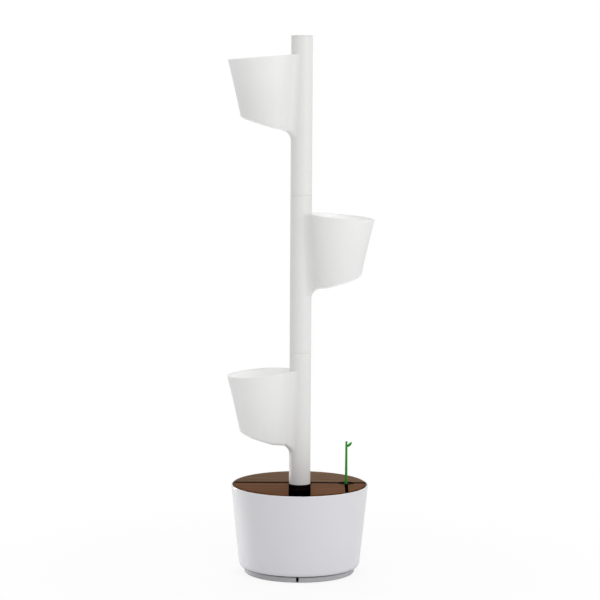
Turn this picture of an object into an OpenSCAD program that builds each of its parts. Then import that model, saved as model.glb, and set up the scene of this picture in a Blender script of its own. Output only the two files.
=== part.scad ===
/* [Mast] */
// Outside diameter of the mast tube
mast_d = 50; // [46:1:54]
// Distance from one mast joint to the next
module_pitch = 366.5; // [345:0.5:385]
// Height of the lowest white tube end above the floor
mast_foot_z = 151; // [150:1:156]
// Wall of the mast tube below its socket
mast_wall = 4; // [3.5:0.25:4.5]
// Length of the spigot that plugs into the next socket
spigot_len = 25; // [20:1:28]
// Radial clearance of every turning fit on the mast
turn_clear = 0.08; // [0.04:0.01:0.1]
// Chamfer of the tube ends that makes the joint line
joint_chamfer = 1.2; // [0.6:0.1:1.5]
// Thickness of the cap's visible disc
cap_t = 2; // [2:0.5:5]
// Length of the cap's plug
cap_plug = 14; // [10:1:16]

/* [Pots] */
// Outside diameter of the pot at the rim
pot_rim_d = 155; // [148:1:160]
// Outside diameter of the pot at the floor corner
pot_floor_d = 116; // [106:1:120]
// Distance from the mast axis to the rim's centre
pot_rim_x = 93.3; // [90:0.1:97]
// Distance from the mast axis to the floor's centre
pot_floor_x = 83.6; // [80:0.1:87]
// Drop from the tube's upper end to the rim plane on the mast axis
rim_drop = 40; // [34:1:48]
// Slope of the rim plane, falling away from the mast
rim_slope = 4.8; // [3:0.2:8]
// Drop from the tube's upper end to the outer floor corner
corner_drop = 187.5; // [170:0.5:200]
// Slope of the pot's underside, falling towards the mast
floor_slope = 16.4; // [10:0.2:20]
// Wall thickness of the pot
pot_wall = 2.8; // [2.2:0.2:3.4]
// Thickness of the pot's floor
pot_floor_t = 3.2; // [2.6:0.2:4]
// Rounding where the wall meets the underside
pot_corner_r = 7.5; // [4:0.5:11]
// Radius of the hollow neck curve between mast and pot
neck_r = 21; // [15:1:26]
// Radius of the curve under the pot where it runs into the mast
under_r = 23; // [16:1:28]

/* [Base] */
// Outside diameter of the base at its rim
base_rim_d = 321; // [317:1:326]
// Height of the base's rim above the floor
base_rim_z = 207; // [205:0.5:209]
// Inward lean of the base wall in degrees
base_draft = 5.8; // [5:0.1:6.2]
// Wall and floor thickness of the base shell
shell_wall = 3; // [2.5:0.25:3.5]
// Rounding of the base's lower corner
base_corner_r = 14; // [10:1:16]
// How far the foot ring is set in from the base wall
foot_recess = 13.2; // [12.5:0.1:15]
// Height of the shell's underside above the floor
foot_h = 11.5; // [10:0.5:12]
// Amount the rubber feet stand below the foot ring
foot_pad_stand = 1; // [0.5:0.25:1.5]
// Width of the cable notch in the foot ring
notch_w = 6; // [5:0.5:8]
// Distance of the cable notch from the centre line
notch_x = -4; // [-8:0.5:8]

/* [Lid] */
// Gap between the lid's edge and the base wall
lid_gap = 2; // [1.4:0.1:3]
// Height of the boards' top face above the floor
lid_top_z = 209; // [208:0.5:210]
// Thickness of the boards
board_t = 10; // [8:1:12]
// Gap between the two boards
seam_gap = 3; // [1:0.5:4]
// Rounding of the boards' upper edges
board_edge_r = 2; // [1:0.5:3]
// Sideways rest position of the lid in the rim
lid_shift = -0.8; // [-1.3:0.1:1.3]
// Gap round the mast collar in the boards
mast_hole_gap = 0.8; // [0.5:0.1:1.5]
// Width of the slot in front of the mast
mast_slot_w = 50.8; // [50:0.2:52]
// Width of the bridge that closes each slot at the lid's edge
slot_bridge = 9.8; // [8:0.2:16]
// Height of the bridge, which lies below the boards' top face
bridge_t = 4.5; // [3:0.5:5]
// Distance of the level gauge from the lid's edge
gauge_inset = 45.6; // [45.2:0.2:47.6]
// Gap round the gauge tube in the boards
gauge_hole_gap = 1.5; // [1:0.1:2.5]
// Width of the slot in front of the gauge
gauge_slot_w = 7.5; // [6:0.5:9]

/* [Gauge] */
// Height of the sprout's stem above the lid
stem_rise = 99; // [90:1:105]
// Radius of the stem at the lid
stem_r = 2.7; // [2.4:0.1:3]
// Radius of the stem at the tip
stem_tip_r = 1.9; // [1.5:0.1:2.2]
// Radius of the bud on the stem's tip
bud_r = 2.4; // [2:0.1:2.8]
// Length of the leaf
leaf_len = 18; // [14:1:22]
// Width of the leaf
leaf_w = 6; // [5:0.5:9]
// Thickness of the leaf
leaf_t = 2.4; // [1.6:0.2:3]

/* [Hidden] */
$fn = 96;
eps = 0.01;

mast_r = mast_d / 2;
tube_bore_r = mast_r - mast_wall;
socket_wall = 2.5;
socket_r = mast_r - socket_wall;
spigot_r = socket_r - turn_clear;
spigot_wall = 2.9;
spigot_bore_r = spigot_r - spigot_wall;
through = 1;

tray_drop = 58;
tray_h = 11;
tray_wall = 1.6;
tray_floor_t = 2;
tray_dish = 1.5;
tray_collar_gap = 1.5;
tray_collar_wall = 1.7;
tray_collar_h = 9;
port_r = 2.8;
port_rise = 5;
port_drop = tray_drop - port_rise;

strainer_drop = corner_drop + 17.5;
strainer_r = 7;
strainer_flange_w = 2.2;
strainer_flange_t = 1.6;
strainer_boss_wall = 5;
strainer_boss_out = 2.5;
strainer_face_x = mast_r + strainer_boss_out;
strainer_hole_r = 1.3;
strainer_ring_r = 4.4;
strainer_holes = 6;

rim_r = pot_rim_d / 2;
floor_r = pot_floor_d / 2;
corner_x = pot_floor_x + floor_r;
blend_in = 0.8;
neck_sink = 0.2;
neck_base_r = mast_r - neck_sink;
under_x = mast_r - blend_in + under_r;
under_start = under_x - under_r * sin(floor_slope);
round_near = mast_r + 5;
round_far = mast_r + 35;
neck_steps = 12;
rim_steps = 25;
cap_steps = 8;
round_steps = 3;
wall_steps = 4;
round_end = 82;
rim_over = 0.06;

shell_z = foot_h;
shell_corner_z = shell_z + base_corner_r;
base_rim_r = base_rim_d / 2;
shell_corner_x = shell_line(shell_corner_z) - base_corner_r / cos(base_draft);
shell_floor_z = shell_z + shell_wall;
shell_wall_in = shell_wall / cos(base_draft);
lip_r = shell_wall / 2;
lip_z = base_rim_z - lip_r;
lip_x = shell_line(lip_z) - lip_r / cos(base_draft);
lip_dx = lip_r * cos(base_draft);
lip_dz = lip_r * sin(base_draft);
ledge_z = lid_top_z - board_t;
ledge_t = 3;
ledge_lap = 8.7;
ledge_rib_h = 14;
ledge_rib_t = 2;
ledge_rib_foot = 1.5;
ledge_ribs = 12;
lid_r = shell_line(ledge_z) - shell_wall_in - lid_gap;
ledge_r = lid_r - ledge_lap;

foot_ring_w = 22;
foot_r = shell_line(shell_corner_z) - foot_recess;
foot_inner_r = foot_r - foot_ring_w;
foot_mid_r = (foot_r + foot_inner_r) / 2;
foot_screw_turn = 65;
foot_boss_r = 5;
foot_boss_h = 8;
foot_boss_cover = 3;
screw_shank_r = 1.6;
screw_head_r = 3.6;
screw_head_h = 2.4;
screw_gap = 0.4;
screw_cross_l = 4;
screw_cross_w = 1;
screw_cross_depth = 1.2;
screw_sink = 0.6;
foot_screw_seat_z = foot_pad_stand + screw_sink + screw_head_h;
cable_hole_r = 3.2;
cable_hole_in = 9;
pad_r = 8;
pad_pocket = 2;
pad_turn = 20;

tank_wall = 2.5;
tank_floor_z = shell_floor_z + tank_wall;
tank_lift_gap = 7;
tank_taper = 12;
tank_chamfer = 24;
tank_chamfer_h = 24;
tank_slope_inset = 0.4;
tank_top_r = ledge_r - tank_lift_gap;
tank_mid_r = tank_top_r - tank_taper;
tank_low_r = tank_mid_r - tank_chamfer;
tank_top_gap = 6;
tank_top_z = ledge_z - ledge_t - tank_top_gap;
cradle_gap = 1;
cradle_w = 6;
cradle_h = 4;

collar_boss_r = 6;
collar_boss_h = 10;
collar_bolt_r = mast_r + 17;
collar_bolt_turn = 45;
collar_screw_depth = 7;
flange_z = tank_floor_z + collar_boss_h;
flange_t = 4;
flange_r = collar_bolt_r + 10;
collar_wall = 2.72;
collar_bore_r = mast_r + turn_clear;
collar_r = collar_bore_r + collar_wall;
collar_sink = 1;
collar_top_z = lid_top_z - collar_sink;
collar_low_bore_r = 20;
collar_stop_gap = 2;
collar_rib_t = 3;
collar_rib_h = 40;
collar_rib_in = 6;
collar_rib_toe = 4;
lid_rest_w = 8.2;
lid_rest_t = 3;
mast_hole_r = collar_r + mast_hole_gap;
mast_slot_end = lid_r - slot_bridge;

pump_x = -79;
pump_w = 38;
pump_y0 = -5;
pump_y1 = 23;
pump_h = 44;
pump_corner_r = 5;
chamber_r = 13.5;
chamber_rise = 22.5;
chamber_z = tank_floor_z + chamber_rise;
chamber_y = 5;
rotor_pocket_r = 8.2;
rotor_pocket_y = 21;
rotor_r = 7.8;
rotor_end_gap = 1;
blade_r = 12;
blade_t = 1.4;
blade_h = 7.2;
blade_disc_t = 1.6;
blade_gap = 0.8;
blades = 6;
hub_r = 3.4;
shaft_r = 1.2;
shaft_clear = 0.06;
shaft_seat = 1;
shaft_end_gap = 1.5;
nozzle_rise = 8;
nozzle_z = chamber_z + nozzle_rise;
nozzle_r = 3.5;
nozzle_bore_r = 2.2;
nozzle_l = 14;
nozzle_end = pump_x + pump_w / 2 + nozzle_l;
cover_t = 3;
cover_inset = 2;
cover_rise = 3;
intake_r = 6;
cage_r = 11;
cage_t = 8;
cage_wall = 2;
cage_roof = 1;
cage_slots = 8;
cage_slot_w = 3;
cage_slot_base = 1.5;
cage_bar_pitch = 3;
cage_bar_gap = 1.6;
cage_bar_l = 14;

hose_r = 5;
hose_bend = 20;
hose_top_gap = 40;
hose_top_z = mast_top_z() - hose_top_gap;
hose_pass = 2;
spreader_r = 9;
spreader_h = 9;
spreader_grip = 4;
spreader_roof = 2;
spreader_slot_w = 3;
spreader_slot_h = 2.4;

gauge_x = lid_r - gauge_inset;
gauge_tube_r = 15;
gauge_bore_r = 13;
gauge_tube_floor = 2;
gauge_inlet_r = 6;
gauge_low_z = 45;
gauge_top_z = ledge_z + 3;
gauge_rest_w = 5;
gauge_window_z = 60;
gauge_window_pitch = 40;
gauge_window_h = 16;
gauge_window_w = 4;
gauge_windows = 3;
gauge_hole_r = gauge_tube_r + gauge_hole_gap;
gauge_slot_end = sqrt(pow(lid_r, 2) - pow(gauge_x - lid_shift, 2)) - slot_bridge;
guide_clear = 0.5;
guide_bore_r = stem_r + guide_clear;
guide_plug = 4;
float_r = 12;
float_h = 34;
float_top_z = 176;
stem_seat = 8;
hook_t = 3;
hook_w = 16;
hook_gap = 0.4;
hook_wall = 2;
hook_drop = 8;
leaf_drop = 11;
leaf_turn = 42;
leaf_root_in = 0.5;
cap_round = 1.5;
cap_plug_wall = 1;
white = "#f1f1f0";
black = "#15120f";
wood = "#674e3a";

// Height of the mast tubes' upper end
function mast_top_z() = mast_foot_z + 3 * module_pitch;

// Radius of the shell's outer wall line at a height
function shell_line(z) = base_rim_r - (base_rim_z - z) * tan(base_draft);

// Centre of the neck curve, touching a circle about the mast axis and the pot's circle
function neck_centre(c, r) =
    let (s = neck_base_r + neck_r, q = r + neck_r, k = (s * s + c * c - q * q) / (2 * s * c))
    [s * k, s * sqrt(1 - k * k)];

// Half of the pot's plan outline from the mast to the tip, moved inwards by d
function half_outline(c, r, d) =
    let (
        k = neck_centre(c, r),
        from = atan2(-k[1], -k[0]),
        to = atan2(-k[1], c - k[0]),
        start = atan2(k[1], k[0] - c)
    )
    concat(
        [for (i = [0 : neck_steps])
            let (a = from + (to - from) * i / neck_steps)
            [k[0] + (neck_r + d) * cos(a), k[1] + (neck_r + d) * sin(a)]],
        [for (i = [1 : rim_steps])
            let (a = start * (1 - i / rim_steps))
            [c + (r - d) * cos(a), i == rim_steps ? 0 : (r - d) * sin(a)]]
    );

// The whole outline, the second half mirrored
function outline(c, r, d) =
    let (h = half_outline(c, r, d), n = len(h))
    concat(h, [for (i = [n - 2 : -1 : 0]) [h[i][0], -h[i][1]]]);

// Height of the sloping floor line at a distance from the mast axis
function floor_line(x) = -corner_drop - (corner_x - x) * tan(floor_slope);

// Height of the rim plane at a distance from the mast axis
function rim_line(x) = -rim_drop - x * tan(rim_slope);

// Share of the round approach to the mast in the underside's distance
function round_share(x) =
    x < round_near ? 1 : x > round_far ? 0 : (round_far - x) / (round_far - round_near);

// Height of the underside, a slope that curves down into the mast
function under_height(x, y) =
    let (
        w = round_share(x),
        q = w * norm([x, y]) + (1 - w) * x,
        zc = floor_line(under_x) - under_r / cos(floor_slope),
        u = min(under_r, under_x - q)
    )
    q >= under_start ? floor_line(q) : zc + sqrt(max(0, under_r * under_r - u * u));

// Level list entry: share of the way up to the rim, inset and lift
function levels(corner) = concat(
    [for (i = [0 : round_steps])
        let (a = round_end * i / round_steps)
        [0, corner * (1 - sin(a)), corner * (1 - cos(a))]],
    [for (i = [1 : wall_steps]) [i / wall_steps, 0, corner]]
);

// Points of one level of the pot's outer surface
function outer_level(l) =
    let (c = pot_floor_x + (pot_rim_x - pot_floor_x) * l[0], r = floor_r + (rim_r - floor_r) * l[0])
    [for (p = outline(c, r, l[1]))
        [p[0], p[1], (1 - l[0]) * (under_height(p[0], p[1]) + l[2]) + l[0] * rim_line(p[0])]];

// Points of one level of the pot's hollow, which runs on past the rim
function inner_level(l) =
    let (
        t = l[0] * (1 + rim_over),
        c = pot_floor_x + (pot_rim_x - pot_floor_x) * t,
        r = floor_r + (rim_r - floor_r) * t
    )
    [for (p = outline(c, r, l[1] + pot_wall))
        [p[0], p[1], (1 - t) * (floor_line(p[0]) + pot_floor_t + l[2]) + t * rim_line(p[0])]];

// Side faces between stacked outlines of n points
function side_faces(n, count) = [
    for (l = [0 : count - 2], k = [0 : n - 1], half = [0, 1])
        let (a = l * n + k, b = l * n + (k + 1) % n)
        half == 0 ? [a, b, b + n] : [a, b + n, a + n]
];

// Cap across an outline, joined in strips from side to side
function strip_cap(n, base, flip) = [
    for (i = [0 : (n - 3) / 2], half = [0, 1])
        let (j = n - 1 - i, t = half == 0 ? [i, i + 1, j] : [i + 1, j - 1, j])
        if (half == 0 || i + 1 != j - 1)
            flip ? [base + t[2], base + t[1], base + t[0]] : [base + t[0], base + t[1], base + t[2]]
];

// Point number in the underside's grid of rows i and columns j
function grid_id(i, j, n, base) =
    let (tip = (n - 1) / 2)
    i == tip ? tip : j == 0 ? i : j == cap_steps ? n - 1 - i : base + (i - 1) * (cap_steps - 1) + j - 1;

// The underside's faces, a fan at the mast and then a grid
function grid_cap(n, base) =
    let (tip = (n - 1) / 2, m = cap_steps / 2)
    concat(
        [for (j = [0 : cap_steps - 1])
            [j < m ? 0 : n - 1, grid_id(1, j + 1, n, base), grid_id(1, j, n, base)]],
        [[0, n - 1, grid_id(1, m, n, base)]],
        [for (i = [1 : tip - 1], j = [0 : cap_steps - 1])
            [grid_id(i, j, n, base), grid_id(i, j + 1, n, base), grid_id(i + 1, j + 1, n, base)]],
        [for (i = [1 : tip - 2], j = [0 : cap_steps - 1])
            [grid_id(i, j, n, base), grid_id(i + 1, j + 1, n, base), grid_id(i + 1, j, n, base)]]
    );

module pot_body() {
    ls = levels(pot_corner_r);
    rings = [for (l = ls) outer_level(l)];
    n = len(rings[0]);
    low = rings[0];
    base = n * len(ls);
    inner = [for (i = [1 : (n - 3) / 2], j = [1 : cap_steps - 1])
        let (x = low[i][0], y = low[i][1] * (1 - 2 * j / cap_steps))
        [x, y, under_height(x, y)]];
    polyhedron(
        points = concat([for (r = rings) each r], inner),
        faces = concat(side_faces(n, len(ls)), strip_cap(n, n * (len(ls) - 1), false), grid_cap(n, base)),
        convexity = 6
    );
}

module pot_hollow() {
    ls = levels(pot_corner_r - pot_wall);
    rings = [for (l = ls) inner_level(l)];
    n = len(rings[0]);
    polyhedron(
        points = [for (r = rings) each r],
        faces = concat(side_faces(n, len(ls)), strip_cap(n, n * (len(ls) - 1), false), strip_cap(n, 0, true)),
        convexity = 4
    );
}

module tube_outside() {
    polygon([
        [0, -module_pitch - spigot_len],
        [spigot_r, -module_pitch - spigot_len],
        [spigot_r, -module_pitch],
        [mast_r - joint_chamfer, -module_pitch],
        [mast_r, -module_pitch + joint_chamfer],
        [mast_r, -joint_chamfer],
        [mast_r - joint_chamfer, 0],
        [0, 0]
    ]);
}

module tube_bore() {
    low = -module_pitch - spigot_len - through;
    polygon([
        [0, low],
        [spigot_bore_r, low],
        [spigot_bore_r, -module_pitch],
        [tube_bore_r, -module_pitch],
        [tube_bore_r, -tray_drop],
        [socket_r, -tray_drop],
        [socket_r, through],
        [0, through]
    ]);
}

module along_x(r, from, to) {
    translate([from, 0, 0])
        rotate([0, 90, 0])
            cylinder(h = to - from, r = r);
}

module planter() {
    difference() {
        union() {
            difference() {
                pot_body();
                pot_hollow();
            }
            rotate_extrude()
                tube_outside();
            translate([0, 0, -strainer_drop])
                along_x(strainer_r + strainer_boss_wall, tube_bore_r - through, strainer_face_x);
        }
        rotate_extrude()
            tube_bore();
        translate([0, 0, -strainer_drop])
            along_x(strainer_r, 0, strainer_face_x + through);
        translate([0, 0, -port_drop])
            along_x(port_r, 0, mast_r + through);
    }
}

module tray() {
    collar_in = hose_r + tray_collar_gap;
    collar_out = collar_in + tray_collar_wall;
    wall_in = socket_r - tray_wall;
    difference() {
        rotate_extrude()
            translate([0, -tray_drop])
                polygon([
                    [collar_in, 0],
                    [socket_r, 0],
                    [socket_r, tray_h],
                    [wall_in, tray_h],
                    [wall_in, tray_floor_t],
                    [collar_out, tray_floor_t + tray_dish],
                    [collar_out, tray_collar_h],
                    [collar_in, tray_collar_h]
                ]);
        translate([0, 0, -port_drop])
            along_x(port_r, wall_in - through, mast_r);
    }
}

module strainer() {
    face = strainer_face_x + strainer_flange_t;
    difference() {
        union() {
            along_x(strainer_r, tube_bore_r - through, strainer_face_x);
            along_x(strainer_r + strainer_flange_w, strainer_face_x, face);
        }
        for (i = [1 : strainer_holes])
            rotate([360 * i / strainer_holes, 0, 0])
                translate([0, 0, strainer_ring_r])
                    along_x(strainer_hole_r, tube_bore_r - 2 * through, face + through);
        along_x(strainer_hole_r, tube_bore_r - 2 * through, face + through);
    }
}

module at_module(k, turn) {
    translate([0, 0, mast_foot_z + k * module_pitch])
        rotate([0, 0, turn])
            children();
}

module lower_planter() {
    color(white)
        at_module(1, 180)
            planter();
}

module middle_planter() {
    color(white)
        at_module(2, 0)
            planter();
}

module upper_planter() {
    color(white)
        at_module(3, 180)
            planter();
}

module lower_tray() {
    color(black)
        at_module(1, 180)
            tray();
}

module middle_tray() {
    color(black)
        at_module(2, 0)
            tray();
}

module upper_tray() {
    color(black)
        at_module(3, 180)
            tray();
}

module lower_strainer() {
    color(black)
        at_module(1, 180)
            translate([0, 0, -strainer_drop])
                strainer();
}

module middle_strainer() {
    color(black)
        at_module(2, 0)
            translate([0, 0, -strainer_drop])
                strainer();
}

module upper_strainer() {
    color(black)
        at_module(3, 180)
            translate([0, 0, -strainer_drop])
                strainer();
}

module mast_cap() {
    color(white)
        translate([0, 0, mast_top_z()])
            rotate_extrude()
                difference() {
                    union() {
                        square([mast_r - cap_round, cap_t]);
                        square([mast_r, cap_t - cap_round]);
                        intersection() {
                            translate([mast_r - cap_round, cap_t - cap_round])
                                circle(r = cap_round);
                            square([mast_r, cap_t]);
                        }
                        translate([0, -cap_plug])
                            square([spigot_r, cap_plug + cap_t / 2]);
                    }
                    translate([0, -cap_plug - through])
                        square([spigot_r - cap_plug_wall, cap_plug + through]);
                }
}

// Ends of the outer outline, cut square to the wall below its rounded lip
function lip_points() = [
    [lip_x + lip_dx, lip_z - lip_dz],
    [lip_x - lip_dx, lip_z + lip_dz],
    [0, lip_z + lip_dz]
];

// Ends of the inner outline, which runs on past the rim
function mouth_points() =
    let (top = base_rim_z + through)
    [[shell_inside(top, 0), top], [0, top]];

module shell_solid(inset, ends) {
    corner = base_corner_r - inset;
    touch_x = shell_corner_x + corner * cos(base_draft);
    touch_z = shell_corner_z - corner * sin(base_draft);
    polygon(concat([
        [0, shell_z + inset],
        [shell_corner_x, shell_z + inset],
        [shell_corner_x, shell_corner_z],
        [touch_x, touch_z]
    ], ends));
    intersection() {
        translate([shell_corner_x, shell_corner_z])
            circle(r = corner);
        translate([shell_corner_x - eps, shell_corner_z - corner - through])
            square([corner + 2 * through, corner + through]);
    }
}

// Distance of the shell's inner face from the axis, moved into the wall by a lap
function shell_inside(z, lap) = shell_line(z) - shell_wall_in + lap;

module ledge_profile() {
    low = ledge_z - ledge_t;
    polygon([
        [ledge_r, low],
        [shell_inside(low, shell_wall / 2), low],
        [shell_inside(ledge_z, shell_wall / 2), ledge_z],
        [ledge_r, ledge_z]
    ]);
}

// Ring on the shell's floor whose slope follows the tank's chamfer
module cradle_profile() {
    translate([tank_low_r + cradle_gap, shell_floor_z])
        polygon([
            [0, -through],
            [cradle_w, -through],
            [cradle_w, cradle_h],
            [cradle_h * tank_chamfer / tank_chamfer_h, cradle_h],
            [0, 0]
        ]);
}

module ledge_rib() {
    high = ledge_z - ledge_t / 2;
    low = ledge_z - ledge_t - ledge_rib_h;
    rotate([90, 0, 0])
        translate([0, 0, -ledge_rib_t / 2])
            linear_extrude(ledge_rib_t)
                polygon([
                    [ledge_r + ledge_rib_foot, high],
                    [shell_inside(low, -ledge_rib_foot), low],
                    [shell_inside(low, shell_wall / 2), low],
                    [shell_inside(high, shell_wall / 2), high]
                ]);
}

module four_round(r, start) {
    for (i = [0 : 3])
        rotate([0, 0, start + 90 * i])
            translate([r, 0, 0])
                children();
}

module base_shell() {
    color(white)
        difference() {
            union() {
                rotate_extrude()
                    difference() {
                        shell_solid(0, lip_points());
                        shell_solid(shell_wall, mouth_points());
                    }
                rotate_extrude()
                    translate([lip_x, lip_z])
                        circle(r = lip_r);
                rotate_extrude()
                    ledge_profile();
                rotate_extrude()
                    cradle_profile();
                for (i = [1 : ledge_ribs])
                    rotate([0, 0, 360 * (i - 0.5) / ledge_ribs])
                        ledge_rib();
                four_round(foot_mid_r, foot_screw_turn)
                    translate([0, 0, shell_floor_z - through])
                        cylinder(h = foot_boss_h + through, r = foot_boss_r);
            }
            four_round(foot_mid_r, foot_screw_turn)
                translate([0, 0, shell_z - through])
                    cylinder(h = shell_wall + foot_boss_h - foot_boss_cover + through, r = screw_shank_r);
            translate([notch_x, cable_hole_in - foot_r, shell_z - through])
                cylinder(h = shell_wall + 2 * through, r = cable_hole_r);
        }
}

module foot_ring() {
    color(white)
        difference() {
            translate([0, 0, foot_pad_stand])
                cylinder(h = foot_h - foot_pad_stand, r = foot_r);
            cylinder(h = foot_h + through, r = foot_inner_r);
            translate([notch_x - notch_w / 2, -foot_r - through, -through])
                cube([notch_w, foot_ring_w + cable_hole_in, foot_h + 2 * through]);
            four_round(foot_mid_r, foot_screw_turn) {
                cylinder(h = foot_h + through, r = screw_shank_r + screw_gap);
                translate([0, 0, -through])
                    cylinder(h = foot_screw_seat_z + through, r = screw_head_r + screw_gap);
            }
            four_round(foot_mid_r, pad_turn)
                translate([0, 0, -through])
                    cylinder(h = foot_pad_stand + pad_pocket + through, r = pad_r);
        }
}

// Screw whose head's seat is at height 0, pointing up
module screw(shank_l) {
    difference() {
        translate([0, 0, -screw_head_h])
            cylinder(h = screw_head_h, r = screw_head_r);
        for (a = [0, 90])
            rotate([0, 0, a])
                translate([-screw_cross_l / 2, -screw_cross_w / 2, -screw_head_h - through])
                    cube([screw_cross_l, screw_cross_w, screw_cross_depth + through]);
    }
    translate([0, 0, -eps])
        cylinder(h = shank_l + eps, r = screw_shank_r);
}

module foot_screws() {
    color("silver")
        four_round(foot_mid_r, foot_screw_turn)
            translate([0, 0, foot_screw_seat_z])
                screw(shell_floor_z + foot_boss_h - foot_boss_cover - through - foot_screw_seat_z);
}

module foot_pad(i) {
    color("dimgray")
        rotate([0, 0, pad_turn + 90 * i])
            translate([foot_mid_r, 0, 0])
                cylinder(h = foot_pad_stand + pad_pocket, r = pad_r);
}

module foot_pad_1() {
    foot_pad(0);
}

module foot_pad_2() {
    foot_pad(1);
}

module foot_pad_3() {
    foot_pad(2);
}

module foot_pad_4() {
    foot_pad(3);
}

module tank_solid(inset) {
    low = shell_floor_z + inset;
    top = tank_top_z + (inset > 0 ? through : 0);
    polygon([
        [0, low],
        [tank_low_r - inset * tank_slope_inset, low],
        [tank_mid_r - inset, shell_floor_z + tank_chamfer_h + inset * tank_slope_inset],
        [tank_top_r - inset, top],
        [0, top]
    ]);
}

module reservoir() {
    color(black)
        difference() {
            union() {
                rotate_extrude()
                    difference() {
                        tank_solid(0);
                        tank_solid(tank_wall);
                    }
                four_round(collar_bolt_r, collar_bolt_turn)
                    translate([0, 0, tank_floor_z - through])
                        cylinder(h = collar_boss_h + through, r = collar_boss_r);
            }
            four_round(collar_bolt_r, collar_bolt_turn)
                translate([0, 0, flange_z - collar_screw_depth - through])
                    cylinder(h = collar_screw_depth + 2 * through, r = screw_shank_r);
        }
}

module collar_rib() {
    low = flange_z + flange_t / 2;
    high = flange_z + flange_t + collar_rib_h;
    root = collar_r - collar_wall / 2;
    rotate([90, 0, 0])
        translate([0, 0, -collar_rib_t / 2])
            linear_extrude(collar_rib_t)
                polygon([
                    [root, low],
                    [flange_r - collar_rib_in, low],
                    [flange_r - collar_rib_in, low + collar_rib_toe],
                    [collar_r, high],
                    [root, high]
                ]);
}

module mast_collar() {
    hose_room = hose_r + hose_pass;
    color(black)
        difference() {
            union() {
                translate([0, 0, flange_z])
                    cylinder(h = flange_t, r = flange_r);
                translate([0, 0, flange_z])
                    cylinder(h = collar_top_z - flange_z, r = collar_r);
                translate([0, 0, ledge_z - lid_rest_t])
                    cylinder(h = lid_rest_t, r = collar_r + lid_rest_w);
                for (i = [-1 : 1])
                    rotate([0, 0, 90 * i])
                        collar_rib();
            }
            translate([0, 0, flange_z - through])
                cylinder(h = collar_top_z, r = collar_low_bore_r);
            translate([0, 0, mast_foot_z - spigot_len - collar_stop_gap])
                cylinder(h = collar_top_z, r = socket_r);
            translate([0, 0, mast_foot_z])
                cylinder(h = collar_top_z, r = collar_bore_r);
            translate([-collar_r - through, -hose_room, nozzle_z - hose_room])
                cube([collar_r, 2 * hose_room, 2 * hose_room]);
            four_round(collar_bolt_r, collar_bolt_turn)
                translate([0, 0, flange_z - through])
                    cylinder(h = flange_t + 2 * through, r = screw_shank_r + screw_gap);
        }
}

module collar_screws() {
    color("silver")
        four_round(collar_bolt_r, collar_bolt_turn)
            translate([0, 0, flange_z + flange_t])
                rotate([180, 0, 0])
                    screw(flange_t + collar_screw_depth);
}

module pump_outline(w, h, r) {
    translate([r - w / 2, 0])
        square([w - 2 * r, h]);
    translate([-w / 2, r])
        square([w, h - 2 * r]);
    for (x = [r - w / 2, w / 2 - r], z = [r, h - r])
        translate([x, z])
            circle(r = r);
}

module facing_front(y) {
    translate([pump_x, y, 0])
        rotate([90, 0, 0])
            children();
}

module pump_housing() {
    color(black)
        difference() {
            union() {
                translate([0, 0, tank_floor_z])
                    facing_front(pump_y1)
                        linear_extrude(pump_y1 - pump_y0)
                            pump_outline(pump_w, pump_h, pump_corner_r);
                translate([0, 0, nozzle_z])
                    along_x(nozzle_r, pump_x, nozzle_end);
            }
            translate([0, 0, chamber_z]) {
                facing_front(chamber_y)
                    cylinder(h = chamber_y - pump_y0 + through, r = chamber_r);
                facing_front(rotor_pocket_y)
                    cylinder(h = rotor_pocket_y, r = rotor_pocket_r);
                facing_front(rotor_pocket_y + shaft_seat)
                    cylinder(h = 2 * shaft_seat, r = shaft_r);
            }
            translate([0, 0, nozzle_z])
                along_x(nozzle_bore_r, pump_x, nozzle_end + through);
        }
}

module pump_cover() {
    color(black)
        difference() {
            translate([0, 0, tank_floor_z + cover_rise])
                facing_front(pump_y0)
                    linear_extrude(cover_t)
                        pump_outline(pump_w - 2 * cover_inset, pump_h - 2 * cover_rise, pump_corner_r);
            translate([0, 0, chamber_z])
                facing_front(pump_y0 + through)
                    cylinder(h = cover_t + 2 * through, r = intake_r);
        }
}

module pump_strainer() {
    color(black)
        translate([0, 0, chamber_z])
            facing_front(pump_y0 - cover_t)
                difference() {
                    cylinder(h = cage_t, r = cage_r);
                    translate([0, 0, -through])
                        cylinder(h = cage_t - cage_roof, r = cage_r - cage_wall);
                    for (i = [1 : cage_slots])
                        rotate([0, 0, 360 * (i - 0.5) / cage_slots])
                            translate([cage_r - cage_wall - through, -cage_slot_w / 2, cage_slot_base])
                                cube([cage_wall + 2 * through, cage_slot_w, cage_t - cage_slot_w]);
                    for (i = [-2 : 2])
                        translate([-cage_bar_l / 2, cage_bar_pitch * i - cage_bar_gap / 2, cage_t / 2])
                            cube([cage_bar_l, cage_bar_gap, cage_t]);
                }
}

module pump_shaft() {
    color("silver")
        translate([0, 0, chamber_z])
            facing_front(rotor_pocket_y + shaft_seat)
                cylinder(h = rotor_pocket_y + shaft_seat - pump_y0 - shaft_end_gap, r = shaft_r);
}

module pump_impeller() {
    rotor_back = rotor_pocket_y - rotor_end_gap;
    disc_back = chamber_y - blade_gap;
    color("gainsboro")
        translate([0, 0, chamber_z])
            difference() {
                union() {
                    facing_front(rotor_back)
                        cylinder(h = rotor_back - disc_back + blade_disc_t / 2, r = rotor_r);
                    facing_front(disc_back)
                        cylinder(h = blade_disc_t, r = blade_r);
                    facing_front(disc_back)
                        cylinder(h = blade_h, r = hub_r);
                    for (i = [1 : blades])
                        facing_front(disc_back)
                            rotate([0, 0, 360 * i / blades])
                                translate([0, -blade_t / 2, 0])
                                    cube([blade_r - blade_t / 2, blade_t, blade_h]);
                }
                facing_front(rotor_back + through)
                    cylinder(h = pump_w, r = shaft_r + shaft_clear);
            }
}

module hose_ring() {
    difference() {
        circle(r = hose_r);
        circle(r = nozzle_r);
    }
}

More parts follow.
